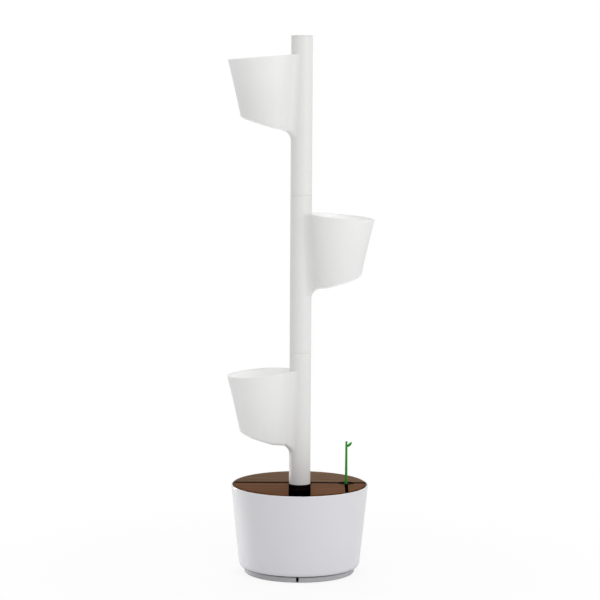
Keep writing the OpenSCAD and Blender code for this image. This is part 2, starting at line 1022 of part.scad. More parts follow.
module riser_hose() {
    bend_top = nozzle_z + hose_bend;
    start = pump_x + pump_w / 2 + through;
    color("ivory") {
        translate([start, 0, nozzle_z])
            rotate([90, 0, 90])
                linear_extrude(-hose_bend - start)
                    hose_ring();
        translate([-hose_bend, 0, bend_top])
            rotate([90, 0, 0])
                rotate([0, 0, -90])
                    rotate_extrude(angle = 90)
                        translate([hose_bend, 0])
                            hose_ring();
        translate([0, 0, bend_top])
            linear_extrude(hose_top_z - bend_top)
                hose_ring();
    }
}

module riser_spreader() {
    color(black)
        translate([0, 0, hose_top_z - spreader_grip])
            difference() {
                cylinder(h = spreader_h, r = spreader_r);
                translate([0, 0, -through])
                    cylinder(h = spreader_grip + through, r = hose_r);
                cylinder(h = spreader_h - spreader_roof, r = nozzle_r);
                for (a = [0, 90])
                    rotate([0, 0, a])
                        translate([-spreader_r - through, -spreader_slot_w / 2,
                            spreader_h - spreader_roof - spreader_slot_h])
                            cube([2 * (spreader_r + through), spreader_slot_w, spreader_slot_h]);
            }
}

module gauge_hook() {
    hook_x = tank_top_r + hook_gap - gauge_x;
    translate([gauge_tube_r - through, -hook_w / 2, tank_top_z])
        cube([hook_x + hook_wall - gauge_tube_r + through, hook_w, hook_t]);
    translate([hook_x, -hook_w / 2, tank_top_z - hook_drop])
        cube([hook_wall, hook_w, hook_drop + hook_t]);
}

module gauge_tube() {
    color(black)
        translate([gauge_x, 0, 0])
            difference() {
                union() {
                    translate([0, 0, gauge_low_z])
                        cylinder(h = gauge_top_z - gauge_low_z, r = gauge_tube_r);
                    translate([0, 0, ledge_z - lid_rest_t])
                        cylinder(h = lid_rest_t, r = gauge_tube_r + gauge_rest_w);
                    gauge_hook();
                }
                translate([0, 0, gauge_low_z + gauge_tube_floor])
                    cylinder(h = gauge_top_z, r = gauge_bore_r);
                translate([0, 0, gauge_low_z - through])
                    cylinder(h = gauge_tube_floor + 2 * through, r = gauge_inlet_r);
                for (i = [0 : gauge_windows - 1])
                    translate([-gauge_tube_r - through, -gauge_window_w / 2,
                        gauge_window_z + gauge_window_pitch * i])
                        cube([gauge_tube_r, gauge_window_w, gauge_window_h]);
            }
}

module gauge_guide() {
    color(black)
        translate([gauge_x, 0, gauge_top_z])
            difference() {
                union() {
                    cylinder(h = collar_top_z - gauge_top_z, r = gauge_tube_r);
                    translate([0, 0, -guide_plug])
                        cylinder(h = guide_plug + through, r = gauge_bore_r);
                }
                translate([0, 0, -guide_plug - through])
                    cylinder(h = collar_top_z, r = guide_bore_r);
            }
}

module gauge_float() {
    color("orange")
        translate([gauge_x, 0, float_top_z])
            difference() {
                translate([0, 0, -float_h])
                    cylinder(h = float_h, r = float_r);
                translate([0, 0, -stem_seat])
                    cylinder(h = stem_seat + through, r = stem_r);
            }
}

module leaf_plan() {
    bow_r = (leaf_len * leaf_len / 4 + leaf_w * leaf_w / 4) / leaf_w;
    translate([leaf_len / 2, 0])
        intersection() {
            translate([0, bow_r - leaf_w / 2])
                circle(r = bow_r);
            translate([0, leaf_w / 2 - bow_r])
                circle(r = bow_r);
        }
}

module leaf(turn) {
    rotate([0, -turn, 0])
        rotate([90, 0, 0])
            translate([0, 0, -leaf_t / 2])
                linear_extrude(leaf_t)
                    leaf_plan();
}

module gauge_stem() {
    stem_foot_z = float_top_z - stem_seat;
    color("limegreen")
        translate([gauge_x, 0, 0]) {
            translate([0, 0, stem_foot_z])
                cylinder(h = lid_top_z - stem_foot_z, r = stem_r);
            translate([0, 0, lid_top_z])
                cylinder(h = stem_rise, r1 = stem_r, r2 = stem_tip_r);
            translate([0, 0, lid_top_z + stem_rise])
                sphere(r = bud_r);
            translate([-leaf_root_in, 0, lid_top_z + stem_rise - leaf_drop])
                leaf(leaf_turn);
        }
}

module lid_disc() {
    rotate_extrude() {
        square([lid_r - board_edge_r, board_t]);
        square([lid_r, board_t - board_edge_r]);
        intersection() {
            translate([lid_r - board_edge_r, board_t - board_edge_r])
                circle(r = board_edge_r);
            square([lid_r, board_t]);
        }
    }
}

module edge_cut(length) {
    rotate([90, 0, 90])
        translate([0, 0, -length / 2])
            linear_extrude(length)
                difference() {
                    square(board_edge_r + through);
                    circle(r = board_edge_r);
                }
}

// Cuts a hole or slot right through the boards
module through_boards() {
    translate([0, 0, ledge_z - through])
        linear_extrude(board_t + 2 * through)
            children();
}

module half_board() {
    difference() {
        translate([lid_shift, 0, ledge_z])
            lid_disc();
        through_boards()
            translate([-2 * lid_r, seam_gap / 2 - 2 * lid_r])
                square([4 * lid_r, 2 * lid_r]);
        translate([0, seam_gap / 2 + board_edge_r, lid_top_z - board_edge_r])
            mirror([0, 1, 0])
                edge_cut(4 * lid_r);
        through_boards()
            circle(r = mast_hole_r);
        through_boards()
            translate([gauge_x, 0])
                circle(r = gauge_hole_r);
    }
}

// Slot from a hole's centre towards the front, closed by a low bridge at the lid's edge
module front_slot(x, w, end) {
    through_boards()
        translate([x - w / 2, -end])
            square([w, end]);
    translate([x - w / 2, -lid_r - through, ledge_z + bridge_t])
        cube([w, lid_r, board_t]);
}

module rear_board() {
    color(wood)
        half_board();
}

module front_board() {
    color(wood)
        difference() {
            mirror([0, 1, 0])
                half_board();
            front_slot(0, mast_slot_w, mast_slot_end);
            front_slot(gauge_x, gauge_slot_w, gauge_slot_end);
        }
}

base_shell();
foot_ring();
foot_pad_1();
foot_pad_2();
foot_pad_3();
foot_pad_4();
foot_screws();
reservoir();
mast_collar();
collar_screws();
pump_housing();
pump_cover();
pump_strainer();
pump_shaft();
pump_impeller();
riser_hose();
riser_spreader();
gauge_tube();
gauge_guide();
gauge_float();
gauge_stem();
front_board();
rear_board();
lower_planter();
lower_tray();
lower_strainer();
middle_planter();
middle_tray();
middle_strainer();
upper_planter();
upper_tray();
upper_strainer();
mast_cap();
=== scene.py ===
"""Looks of a free-standing plant tower: a white base with a wooden lid, a mast and three tilted pots.

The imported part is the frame. Pieces whose curves show are worked out here again as smooth surfaces
and stand for their nodes, and every other node keeps its mesh and gets its finish. Sizes of the
part are millimetres and turn into metres where a mesh is made; those of the studio are metres.
"""

import logging
import math
from collections.abc import Callable
from dataclasses import dataclass
from enum import Enum
from typing import Any

import bmesh
import bpy
import numpy as np
from bpy.types import Material, Mesh, Node, NodeTree, Object
from bpy.types import NodeSocket as Socket
from mathutils import Matrix, Vector
from mathutils.geometry import delaunay_2d_cdt

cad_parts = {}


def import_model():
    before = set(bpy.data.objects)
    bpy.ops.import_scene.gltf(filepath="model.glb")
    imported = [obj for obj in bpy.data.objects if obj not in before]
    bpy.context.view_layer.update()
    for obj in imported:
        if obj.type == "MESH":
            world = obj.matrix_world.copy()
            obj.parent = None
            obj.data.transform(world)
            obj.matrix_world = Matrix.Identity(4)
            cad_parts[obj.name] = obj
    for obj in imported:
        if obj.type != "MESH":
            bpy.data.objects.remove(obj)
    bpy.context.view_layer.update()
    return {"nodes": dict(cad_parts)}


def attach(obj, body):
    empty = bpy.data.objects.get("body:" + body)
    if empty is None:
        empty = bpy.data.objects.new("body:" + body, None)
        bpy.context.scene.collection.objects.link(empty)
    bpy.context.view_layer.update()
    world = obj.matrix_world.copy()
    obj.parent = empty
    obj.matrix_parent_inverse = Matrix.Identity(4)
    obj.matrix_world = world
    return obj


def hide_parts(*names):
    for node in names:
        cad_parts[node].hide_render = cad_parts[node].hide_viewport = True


log = logging.getLogger("plant_tower")
MM = 0.001

# Sizes that more than one class needs, in millimetres
MAST_FOOT_Z = 151.0
MODULE_PITCH = 366.5
LID_TOP_Z = 209.0
GAUGE_X = 109.07
GAUGE_HOLE_R = 16.5

# Edges that turn by fewer degrees than these are shaded smooth: on most pieces, boards and sprout
SMOOTH_DEG = 32.0
BOARD_SMOOTH_DEG = 25.0
SPROUT_SMOOTH_DEG = 45.0

# The modules from the lowest up
LEVELS = ("lower", "middle", "upper")

# Points nearer than this are merged, which closes poles and seams
WELD_MM = 0.002

# How far a cutting solid runs past what it cuts
PAST = 1.0

Pair = tuple[float, float]


# Colour and nodes


def linear(hex_colour: str) -> tuple[float, float, float, float]:
    """Turns an sRGB hex colour into linear RGBA.

    Args:
        hex_colour: six hex digits with a leading hash sign.

    Returns:
        Red, green, blue and alpha, each from 0 to 1.
    """
    srgb = np.array([int(hex_colour[i : i + 2], 16) for i in (1, 3, 5)]) / 255.0
    rgb = np.where(srgb <= 0.04045, srgb / 12.92, ((srgb + 0.055) / 1.055) ** 2.4)
    return (float(rgb[0]), float(rgb[1]), float(rgb[2]), 1.0)


def add_node(tree: NodeTree, kind: str, settings: dict[str, Any] | None = None, **inputs: Any) -> Node:
    """Adds one node with its settings, input values and links.

    Args:
        tree: the node tree of a material or of the world.
        kind: the node's class name without its ShaderNode prefix.
        settings: attributes of the node itself.
        inputs: socket names, with underscores for spaces, or the letter i and an index. Each holds
            a value, a socket to link from, or a node whose first output in use is linked.

    Returns:
        The new node.
    """
    node = tree.nodes.new("ShaderNode" + kind)
    for key, value in (settings or {}).items():
        setattr(node, key, value)
    for key, value in inputs.items():
        socket = node.inputs[int(key[1:]) if key[1:].isdigit() else key.replace("_", " ")]
        if isinstance(value, Node):
            value = next(output for output in value.outputs if output.enabled)
        if isinstance(value, Socket):
            tree.links.new(value, socket)
        else:
            socket.default_value = value
    return node


def new_material(name: str) -> tuple[Material, NodeTree, Socket]:
    """Makes a material whose only node gives the object coordinates.

    Args:
        name: the material's name.

    Returns:
        The material, its node tree and the object coordinates.
    """
    material = bpy.data.materials.new(name)
    material.use_nodes = True
    material.node_tree.nodes.clear()
    return material, material.node_tree, add_node(material.node_tree, "TexCoord").outputs["Object"]


def off_axis(tree: NodeTree, place: Socket, x_mm: float = 0.0) -> Node:
    """Measures how far a point lies from an upright axis: the length of its level offset.

    Args:
        tree: the material's node tree.
        place: the object coordinates.
        x_mm: where the axis stands along X, in millimetres.

    Returns:
        The node that gives the distance in metres.
    """
    level = add_node(tree, "VectorMath", {"operation": "MULTIPLY"}, i0=place, i1=(1.0, 1.0, 0.0))
    return add_node(tree, "VectorMath", {"operation": "DISTANCE"}, i0=level, i1=(x_mm * MM, 0.0, 0.0))


# Finishes


@dataclass(frozen=True)
class MouldedPlastic:
    """Injection-moulded plastic: an even colour with a fine spark-eroded grain and faint flow clouds.

    grain_mm is the spacing of the moulded grain and cloud_mm the size of the clouds in the colour.
    glow_mm is how far light spreads inside the wall, which lets thin pale walls shine through. It
    sets in between the two distances from the upright axis in glow_mm_from, as the walls get thin.
    painted_glow_share is the part of white that a piece's inside, marked in its mesh, glows with:
    painted light for the light that comes through the thin walls.
    painted_inner_shade holds the radius and height where the painted shade on a tub's inside ends and
    the slope of its wall, and dark is that shade's colour, for the shadow in the gap round the lid.
    """

    name: str
    colour: str
    roughness: float
    ior: float = 1.49
    rough_swing: float = 0.04
    grain_mm: float = 0.9
    grain_depth_mm: float = 0.02
    grain_strength: float = 0.6
    cloud_mm: float = 60.0
    cloud_share: float = 0.02
    coat: float = 0.0
    coat_roughness: float = 0.08
    specular: float = 0.5
    glow_mm: float = 0.0
    glow_mm_from: Pair = (30.0, 75.0)
    painted_glow_share: float = 0.095
    # colour of the painted shade inside a tub
    dark: str = "#1a1613"
    painted_inner_shade: tuple[float, float, float] | None = None

    def with_inner_shade(self, tree: NodeTree, place: Socket, colour: Node) -> Node:
        """Paints shade inside a conical tub, below its lip and within a radius that grows upwards.

        Args:
            tree: the material's node tree.
            place: the object coordinates.
            colour: the colour outside.

        Returns:
            The node that gives the colour with the painted shade inside.
        """
        radius, height, slope = self.painted_inner_shade
        level = add_node(tree, "SeparateXYZ", Vector=place).outputs["Z"]
        base = (radius - height * slope) * MM
        wall = add_node(tree, "Math", {"operation": "MULTIPLY_ADD"}, i0=level, i1=slope, i2=base)
        inside = add_node(tree, "Math", {"operation": "LESS_THAN"}, i0=off_axis(tree, place), i1=wall)
        below = add_node(tree, "Math", {"operation": "LESS_THAN"}, i0=level, i1=height * MM)
        both = add_node(tree, "Math", {"operation": "MULTIPLY"}, i0=inside, i1=below)
        return add_node(tree, "Mix", {"data_type": "RGBA"}, i0=both, i6=colour, i7=linear(self.dark))

    def glow(self, tree: NodeTree, place: Socket) -> dict[str, Any]:
        """Lets light spread in the thin walls and paints light on the inside as a share of white glow.

        Args:
            tree: the material's node tree.
            place: the object coordinates.

        Returns:
            Inputs for the plastic's shader.
        """
        near, far = (distance * MM for distance in self.glow_mm_from)
        thin = add_node(tree, "MapRange", Value=off_axis(tree, place), From_Min=near, From_Max=far)
        inside = add_node(tree, "Attribute", {"attribute_name": "inside"}).outputs["Fac"]
        # painted light: the marked inside glows with a share of white
        shine = add_node(tree, "Math", {"operation": "MULTIPLY"}, i0=inside, i1=self.painted_glow_share)
        return {
            "Subsurface_Weight": thin,
            "Subsurface_Radius": (1.0, 1.0, 1.0),
            "Subsurface_Scale": self.glow_mm * MM,
            "Emission_Color": linear("#ffffff"),
            "Emission_Strength": shine,
        }

    def material(self) -> Material:
        """Builds the material.

        Returns:
            A material whose colour, roughness and bump come from noise on object coordinates.
        """
        material, tree, place = new_material(self.name)
        base = linear(self.colour)
        darker = tuple(c * (1 - self.cloud_share) for c in base[:3]) + (1.0,)
        lighter = tuple(min(1.0, c * (1 + self.cloud_share)) for c in base[:3]) + (1.0,)
        clouds = add_node(tree, "TexNoise", Vector=place, Scale=1 / (self.cloud_mm * MM), Detail=3.0)
        colour = add_node(tree, "Mix", {"data_type": "RGBA"}, i0=clouds, i6=darker, i7=lighter)
        grain = add_node(tree, "TexNoise", Vector=place, Scale=1 / (self.grain_mm * MM), Detail=2.0)
        low, high = self.roughness - self.rough_swing, self.roughness + self.rough_swing
        depth = self.grain_depth_mm * MM
        shader = add_node(
            tree,
            "BsdfPrincipled",
            Base_Color=self.with_inner_shade(tree, place, colour) if self.painted_inner_shade else colour,
            Roughness=add_node(tree, "MapRange", Value=grain, To_Min=low, To_Max=high),
            IOR=self.ior,
            Normal=add_node(tree, "Bump", Height=grain, Distance=depth, Strength=self.grain_strength),
            Coat_Weight=self.coat,
            Coat_Roughness=self.coat_roughness,
            Specular_IOR_Level=self.specular,
            **(self.glow(tree, place) if self.glow_mm else {}),
        )
        add_node(tree, "OutputMaterial", Surface=shader)
        return material


@dataclass(frozen=True)
class OiledBoard:
    """Brown oiled hardwood: long grain from left to right, finer fibres in it and short dark pores.

    band_mm is the width of a growth band, fibre_mm that of a fibre and pore_mm that of a pore, and
    each one's ratio says how many times longer it runs. The bands are drawn a little wider than a
    fine-grained board's, so that they still show from afar.
    Painted shade darkens the boards along the seam, seam_shade_mm wide, where the gap between them
    lies in shadow, and round the level gauge's hole, hole_shade_mm wide, where the hole lies in shadow.
    """

    name: str
    dark: str
    light: str
    pore: str
    band_mm: float = 11.0
    band_ratio: float = 14.0
    fibre_mm: float = 1.3
    fibre_ratio: float = 40.0
    pore_mm: float = 0.6
    pore_ratio: float = 18.0
    relief_mm: float = 0.12
    ior: float = 1.45
    roughness: float = 0.6
    shift_mm: float = 0.0
    # colour of the painted shade along the seam and round the gauge's hole
    painted_shade: str = "#1d1108"
    seam_mm: float = 4.5
    seam_shade_mm: float = 11.0
    hole_shade_mm: float = 4.0

    def stretched(self, tree: NodeTree, place: Socket, size: float, ratio: float) -> Node:
        """Noise that is size mm wide across the grain and ratio times longer along it.

        Args:
            tree: the material's node tree.
            place: the object coordinates.
            size: the pattern's width across the grain in millimetres.
            ratio: how many times longer it runs along the grain.

        Returns:
            The noise's node.
        """
        scale = 1 / (size * MM)
        shift, scales = (self.shift_mm, self.shift_mm, 0.0), (scale / ratio, scale, scale)
        along = add_node(tree, "Mapping", Vector=place, Location=shift, Scale=scales)
        return add_node(tree, "TexNoise", Vector=along, Scale=1.0, Detail=4.0, Roughness=0.6)

    def painted_shade_share(self, tree: NodeTree, place: Socket) -> Node:
        """Works out the share of painted shade: next to the seam's shadowed gap and round the gauge's hole.

        Args:
            tree: the material's node tree.
            place: the object coordinates.

        Returns:
            The node that gives the share, 1 where the wood is darkest.
        """
        across = add_node(tree, "SeparateXYZ", Vector=place).outputs["Y"]
        offset = add_node(tree, "Math", {"operation": "SUBTRACT"}, i0=across, i1=self.seam_mm * MM)
        away = add_node(tree, "Math", {"operation": "ABSOLUTE"}, i0=offset)
        shade_width = self.seam_shade_mm * MM
        falling = {"To_Min": 1.0, "To_Max": 0.0}
        seam = add_node(tree, "MapRange", Value=away, From_Min=0.4 * shade_width, From_Max=shade_width, **falling)
        near, far = ((GAUGE_HOLE_R + share * self.hole_shade_mm) * MM for share in (0.7, 1.0))
        reach = off_axis(tree, place, GAUGE_X)
        rim = add_node(tree, "MapRange", Value=reach, From_Min=near, From_Max=far, **falling)
        return add_node(tree, "Math", {"operation": "MAXIMUM"}, i0=seam, i1=rim)

    def material(self) -> Material:
        """Builds the material.

        Returns:
            A material whose bands, fibres and pores run along X in object coordinates.
        """
        material, tree, place = new_material(self.name)
        bands = self.stretched(tree, place, self.band_mm, self.band_ratio)
        fibres = self.stretched(tree, place, self.fibre_mm, self.fibre_ratio)
        pores = self.stretched(tree, place, self.pore_mm, self.pore_ratio)
        band_share = add_node(tree, "MapRange", Value=bands, From_Min=0.3, From_Max=0.7)
        spread = {"From_Min": 0.25, "From_Max": 0.75, "To_Min": -0.3, "To_Max": 0.3}
        fibre_share = add_node(tree, "MapRange", Value=fibres, **spread)
        adding = {"operation": "ADD", "use_clamp": True}
        tone = add_node(tree, "Math", adding, i0=band_share, i1=fibre_share)
        colour = {"data_type": "RGBA"}
        wood = add_node(tree, "Mix", colour, i0=tone, i6=linear(self.dark), i7=linear(self.light))
        pore_share = add_node(tree, "MapRange", Value=pores, From_Min=0.62, From_Max=0.72, To_Max=0.75)
        porous = add_node(tree, "Mix", colour, i0=pore_share, i6=wood, i7=linear(self.pore))
        # painted shade along the seam's gap and round the gauge's hole, which also takes the sheen away
        # there
        painted_shade = self.painted_shade_share(tree, place)
        low, high = self.roughness - 0.08, self.roughness + 0.1
        shader = add_node(
            tree,
            "BsdfPrincipled",
            Base_Color=add_node(tree, "Mix", colour, i0=painted_shade, i6=porous, i7=linear(self.painted_shade)),
            Roughness=add_node(tree, "MapRange", Value=fibres, To_Min=low, To_Max=high),
            IOR=self.ior,
            Normal=add_node(tree, "Bump", Height=fibres, Distance=self.relief_mm * MM, Strength=0.5),
            Specular_IOR_Level=add_node(tree, "MapRange", Value=painted_shade, To_Min=0.03, To_Max=0.0),
        )
        add_node(tree, "OutputMaterial", Surface=shader)
        return material


@dataclass(frozen=True)
class BrightSteel:
    """Cold-headed stainless steel: bright metal with fine turned marks and a soft gloss."""

    name: str
    colour: str = "#c9c8c4"
    roughness: float = 0.28
    rough_swing: float = 0.08
    mark_mm: float = 0.3
    relief_mm: float = 0.01

    def material(self) -> Material:
        """Builds the material.

        Returns:
            A metal whose roughness and bump follow fine marks in object coordinates.
        """
        material, tree, place = new_material(self.name)
        marks = add_node(tree, "TexNoise", Vector=place, Scale=1 / (self.mark_mm * MM), Detail=2.0)
        low, high = self.roughness - self.rough_swing, self.roughness + self.rough_swing
        shader = add_node(
            tree,
            "BsdfPrincipled",
            Base_Color=linear(self.colour),
            Metallic=1.0,
            Roughness=add_node(tree, "MapRange", Value=marks, To_Min=low, To_Max=high),
            Normal=add_node(tree, "Bump", Height=marks, Distance=self.relief_mm * MM, Strength=0.4),
        )
        add_node(tree, "OutputMaterial", Surface=shader)
        return material


@dataclass(frozen=True)
class Finishes:
    """Every finish of the tower, named for what wears it."""

    pots: MouldedPlastic = MouldedPlastic(
        "moulded_white_polypropylene", "#f2f2f1", 0.42, cloud_share=0.012, glow_mm=5.0
    )
    tub: MouldedPlastic = MouldedPlastic(
        "moulded_cool_white_abs",
        "#e6e6ea",
        0.3,
        1.52,
        cloud_share=0.012,
        coat=0.8,
        # painted shade inside the tub, for the shadow in the gap round the lid
        painted_inner_shade=(157.4, 205.3, 0.1016),
    )
    # white plastic drawn darker: painted shade for the foot ring's recess under the tub
    ring: MouldedPlastic = MouldedPlastic("moulded_grey_abs", "#c9c9cc", 0.4, 1.52, cloud_share=0.012)
    black: MouldedPlastic = MouldedPlastic(
        "moulded_black_polypropylene", "#120e0c", 0.75, cloud_share=0.15, specular=0.008
    )
    pad: MouldedPlastic = MouldedPlastic("moulded_grey_rubber", "#3b3a39", 0.8, 1.52, cloud_share=0.1)
    rotor: MouldedPlastic = MouldedPlastic("moulded_grey_acetal", "#bdbdb8", 0.4, 1.48)
    hose: MouldedPlastic = MouldedPlastic("extruded_milky_silicone", "#d9d5c9", 0.35, 1.41, coat=0.2)
    foam: MouldedPlastic = MouldedPlastic(
        "closed_cell_orange_foam", "#d4691c", 0.75, 1.4, grain_mm=1.6, grain_depth_mm=0.15, cloud_share=0.08
    )
    green: MouldedPlastic = MouldedPlastic(
        "moulded_green_polystyrene", "#229512", 0.45, 1.5, cloud_mm=9.0, cloud_share=0.12, specular=0.25
    )
    steel: BrightSteel = BrightSteel("cold_headed_stainless_steel")
    front_wood: OiledBoard = OiledBoard("oiled_brown_acacia_front", "#503016", "#754821", "#311c0f")
    rear_wood: OiledBoard = OiledBoard(
        "oiled_brown_acacia_rear", "#563d29", "#7d5e42", "#38251a", shift_mm=7.3
    )


# Meshes


def rows_mesh(rows: np.ndarray, loop: bool = True) -> tuple[np.ndarray, np.ndarray]:
    """Turns a grid of points into points and quads.

    Args:
        rows: points of shape (rows, columns, 3).
        loop: whether the last column joins the first.

    Returns:
        The points as a flat list and the quads, each wound so that it faces away from the rows'
        left side when the columns run to the right.
    """
    count, width = rows.shape[:2]
    last = width if loop else width - 1
    row, col = np.meshgrid(np.arange(count - 1), np.arange(last), indexing="ij")
    after = (col + 1) % width
    low, high = row * width, (row + 1) * width
    quads = np.stack([low + col, low + after, high + after, high + col], -1)
    return rows.reshape(-1, 3), quads.reshape(-1, 4)


def flat_cap(ring: np.ndarray, first: int) -> list[list[int]]:
    """Splits the flat inside of a ring into triangles that keep to its edge, hollow bends too.

    Args:
        ring: points of shape (points, 3) that lie in one plane, whose axes come from their spread.
        first: the index of the ring's first point in its mesh.

    Returns:
        Triangles as point indices; none for a ring that has shrunk to one point.
    """
    middle = ring - ring.mean(axis=0)
    plan = middle @ np.linalg.svd(middle)[2][:2].T
    count = len(ring)
    edges = [(i, (i + 1) % count) for i in range(count)]
    done = delaunay_2d_cdt([Vector(point) for point in plan.tolist()], edges, [], 1, 1e-5)
    return [[first + done[3][corner][0] for corner in face] for face in done[2]]


def make_piece(name: str, rows: np.ndarray, caps: bool = False, smooth_deg: float = SMOOTH_DEG) -> Object:
    """Makes a closed piece from stacked rings of points.

    Args:
        name: the object's name.
        rows: points in millimetres of shape (rings, points round, 3).
        caps: whether the first and last ring are closed by a flat surface.
        smooth_deg: edges that turn by less than this are shaded smooth.

    Returns:
        An object at the origin with its place in its mesh and its faces pointing outwards.
    """
    points, quads = rows_mesh(rows)
    faces = quads.tolist()
    if caps:
        faces += flat_cap(rows[0], 0) + flat_cap(rows[-1], len(points) - rows.shape[1])
    mesh = bpy.data.meshes.new(name)
    mesh.from_pydata((points * MM).tolist(), [], faces)
    shell = bmesh.new()
    shell.from_mesh(mesh)
    bmesh.ops.remove_doubles(shell, verts=shell.verts, dist=WELD_MM * MM)
    bmesh.ops.recalc_face_normals(shell, faces=shell.faces)
    shell.to_mesh(mesh)
    shell.free()
    shade(mesh, smooth_deg)
    piece = bpy.data.objects.new(name, mesh)
    bpy.context.scene.collection.objects.link(piece)
    return piece


def shade(mesh: Mesh, smooth_deg: float) -> None:
    """Shades a mesh smooth, with edges that turn by more than smooth_deg left sharp."""
    mesh.shade_smooth()
    mesh.set_sharp_from_angle(angle=math.radians(smooth_deg))


def combine(piece: Object, tool: Object, operation: str) -> None:
    """Joins a closed tool to a piece, or cuts it out, and removes the tool.

    Args:
        piece: the object that is changed.
        tool: the closed object that is added or cut out.
        operation: UNION or DIFFERENCE.
    """
    modifier = piece.modifiers.new("combine", "BOOLEAN")
    modifier.object = tool
    modifier.operation = operation
    modifier.solver = "MANIFOLD"
    bpy.context.view_layer.update()
    done = bpy.data.meshes.new_from_object(piece.evaluated_get(bpy.context.evaluated_depsgraph_get()))
    piece.modifiers.remove(modifier)
    old = piece.data
    piece.data = done
    bpy.data.meshes.remove(old)
    old_tool = tool.data
    bpy.data.objects.remove(tool)
    bpy.data.meshes.remove(old_tool)


def turned(profile: np.ndarray, segments: int = 128) -> np.ndarray:
    """Rings of a surface of revolution: each profile point swept round Z at its radius.

    Args:
        profile: points (radius, height) in millimetres.
        segments: points round each ring.

    Returns:
        Points of shape (profile points, segments, 3).
    """
    angle = np.linspace(0, 2 * np.pi, segments, endpoint=False)
    radius, height = profile[:, :1], profile[:, 1:]
    return np.stack([radius * np.cos(angle), radius * np.sin(angle), height + 0 * angle], -1)


def arc_profile(centre: Pair, radius: float, start: float, end: float, steps: int) -> np.ndarray:
    """Points of an arc in the profile plane.

    Args:
        centre: the arc's centre (radius, height).
        radius: the arc's radius.
        start: first angle in degrees, 0 pointing away from the axis and 90 up.
        end: last angle in degrees.
        steps: number of pieces.

    Returns:
        Points (radius, height) of shape (steps + 1, 2).
    """
    angle = np.radians(np.linspace(start, end, steps + 1))
    return np.stack([centre[0] + radius * np.cos(angle), centre[1] + radius * np.sin(angle)], -1)


def lying_cylinder(name: str, radius: float, start: float, end: float, height: float) -> Object:
    """Makes a cylinder along X, for holes and bosses.

    Args:
        name: the object's name.
        radius: the cylinder's radius.
        start: where it starts along X.
        end: where it ends along X.
        height: the height of its axis.

    Returns:
        The closed cylinder.
    """
    angle = np.linspace(0, 2 * np.pi, 48, endpoint=False)
    ring = np.stack([0 * angle, radius * np.cos(angle), height + radius * np.sin(angle)], -1)
    return make_piece(name, np.stack([ring + (x, 0, 0) for x in (start, end)]), caps=True)


def dress(node: Object, material: Material) -> None:
    """Gives an object one material in place of what it had."""
    node.data.materials.clear()
    node.data.materials.append(material)


def install(piece: Object, body: str, node: str, material: Material) -> None:
    """Dresses a new piece, lets it ride on its body and stand for its CAD node.

    Args:
        piece: the new piece.
        body: the CAD body that it moves with.
        node: the CAD node that it replaces.
        material: its material.
    """
    dress(piece, material)
    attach(piece, body)
    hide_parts(node)
    log.info("%s: %d faces, rides on %s", piece.name, len(piece.data.polygons), body)


# Planters


class Side(Enum):
    """The side that a planter's pot hangs on, as the turn of the module about the mast."""

    LEFT = math.pi
    RIGHT = 0.0


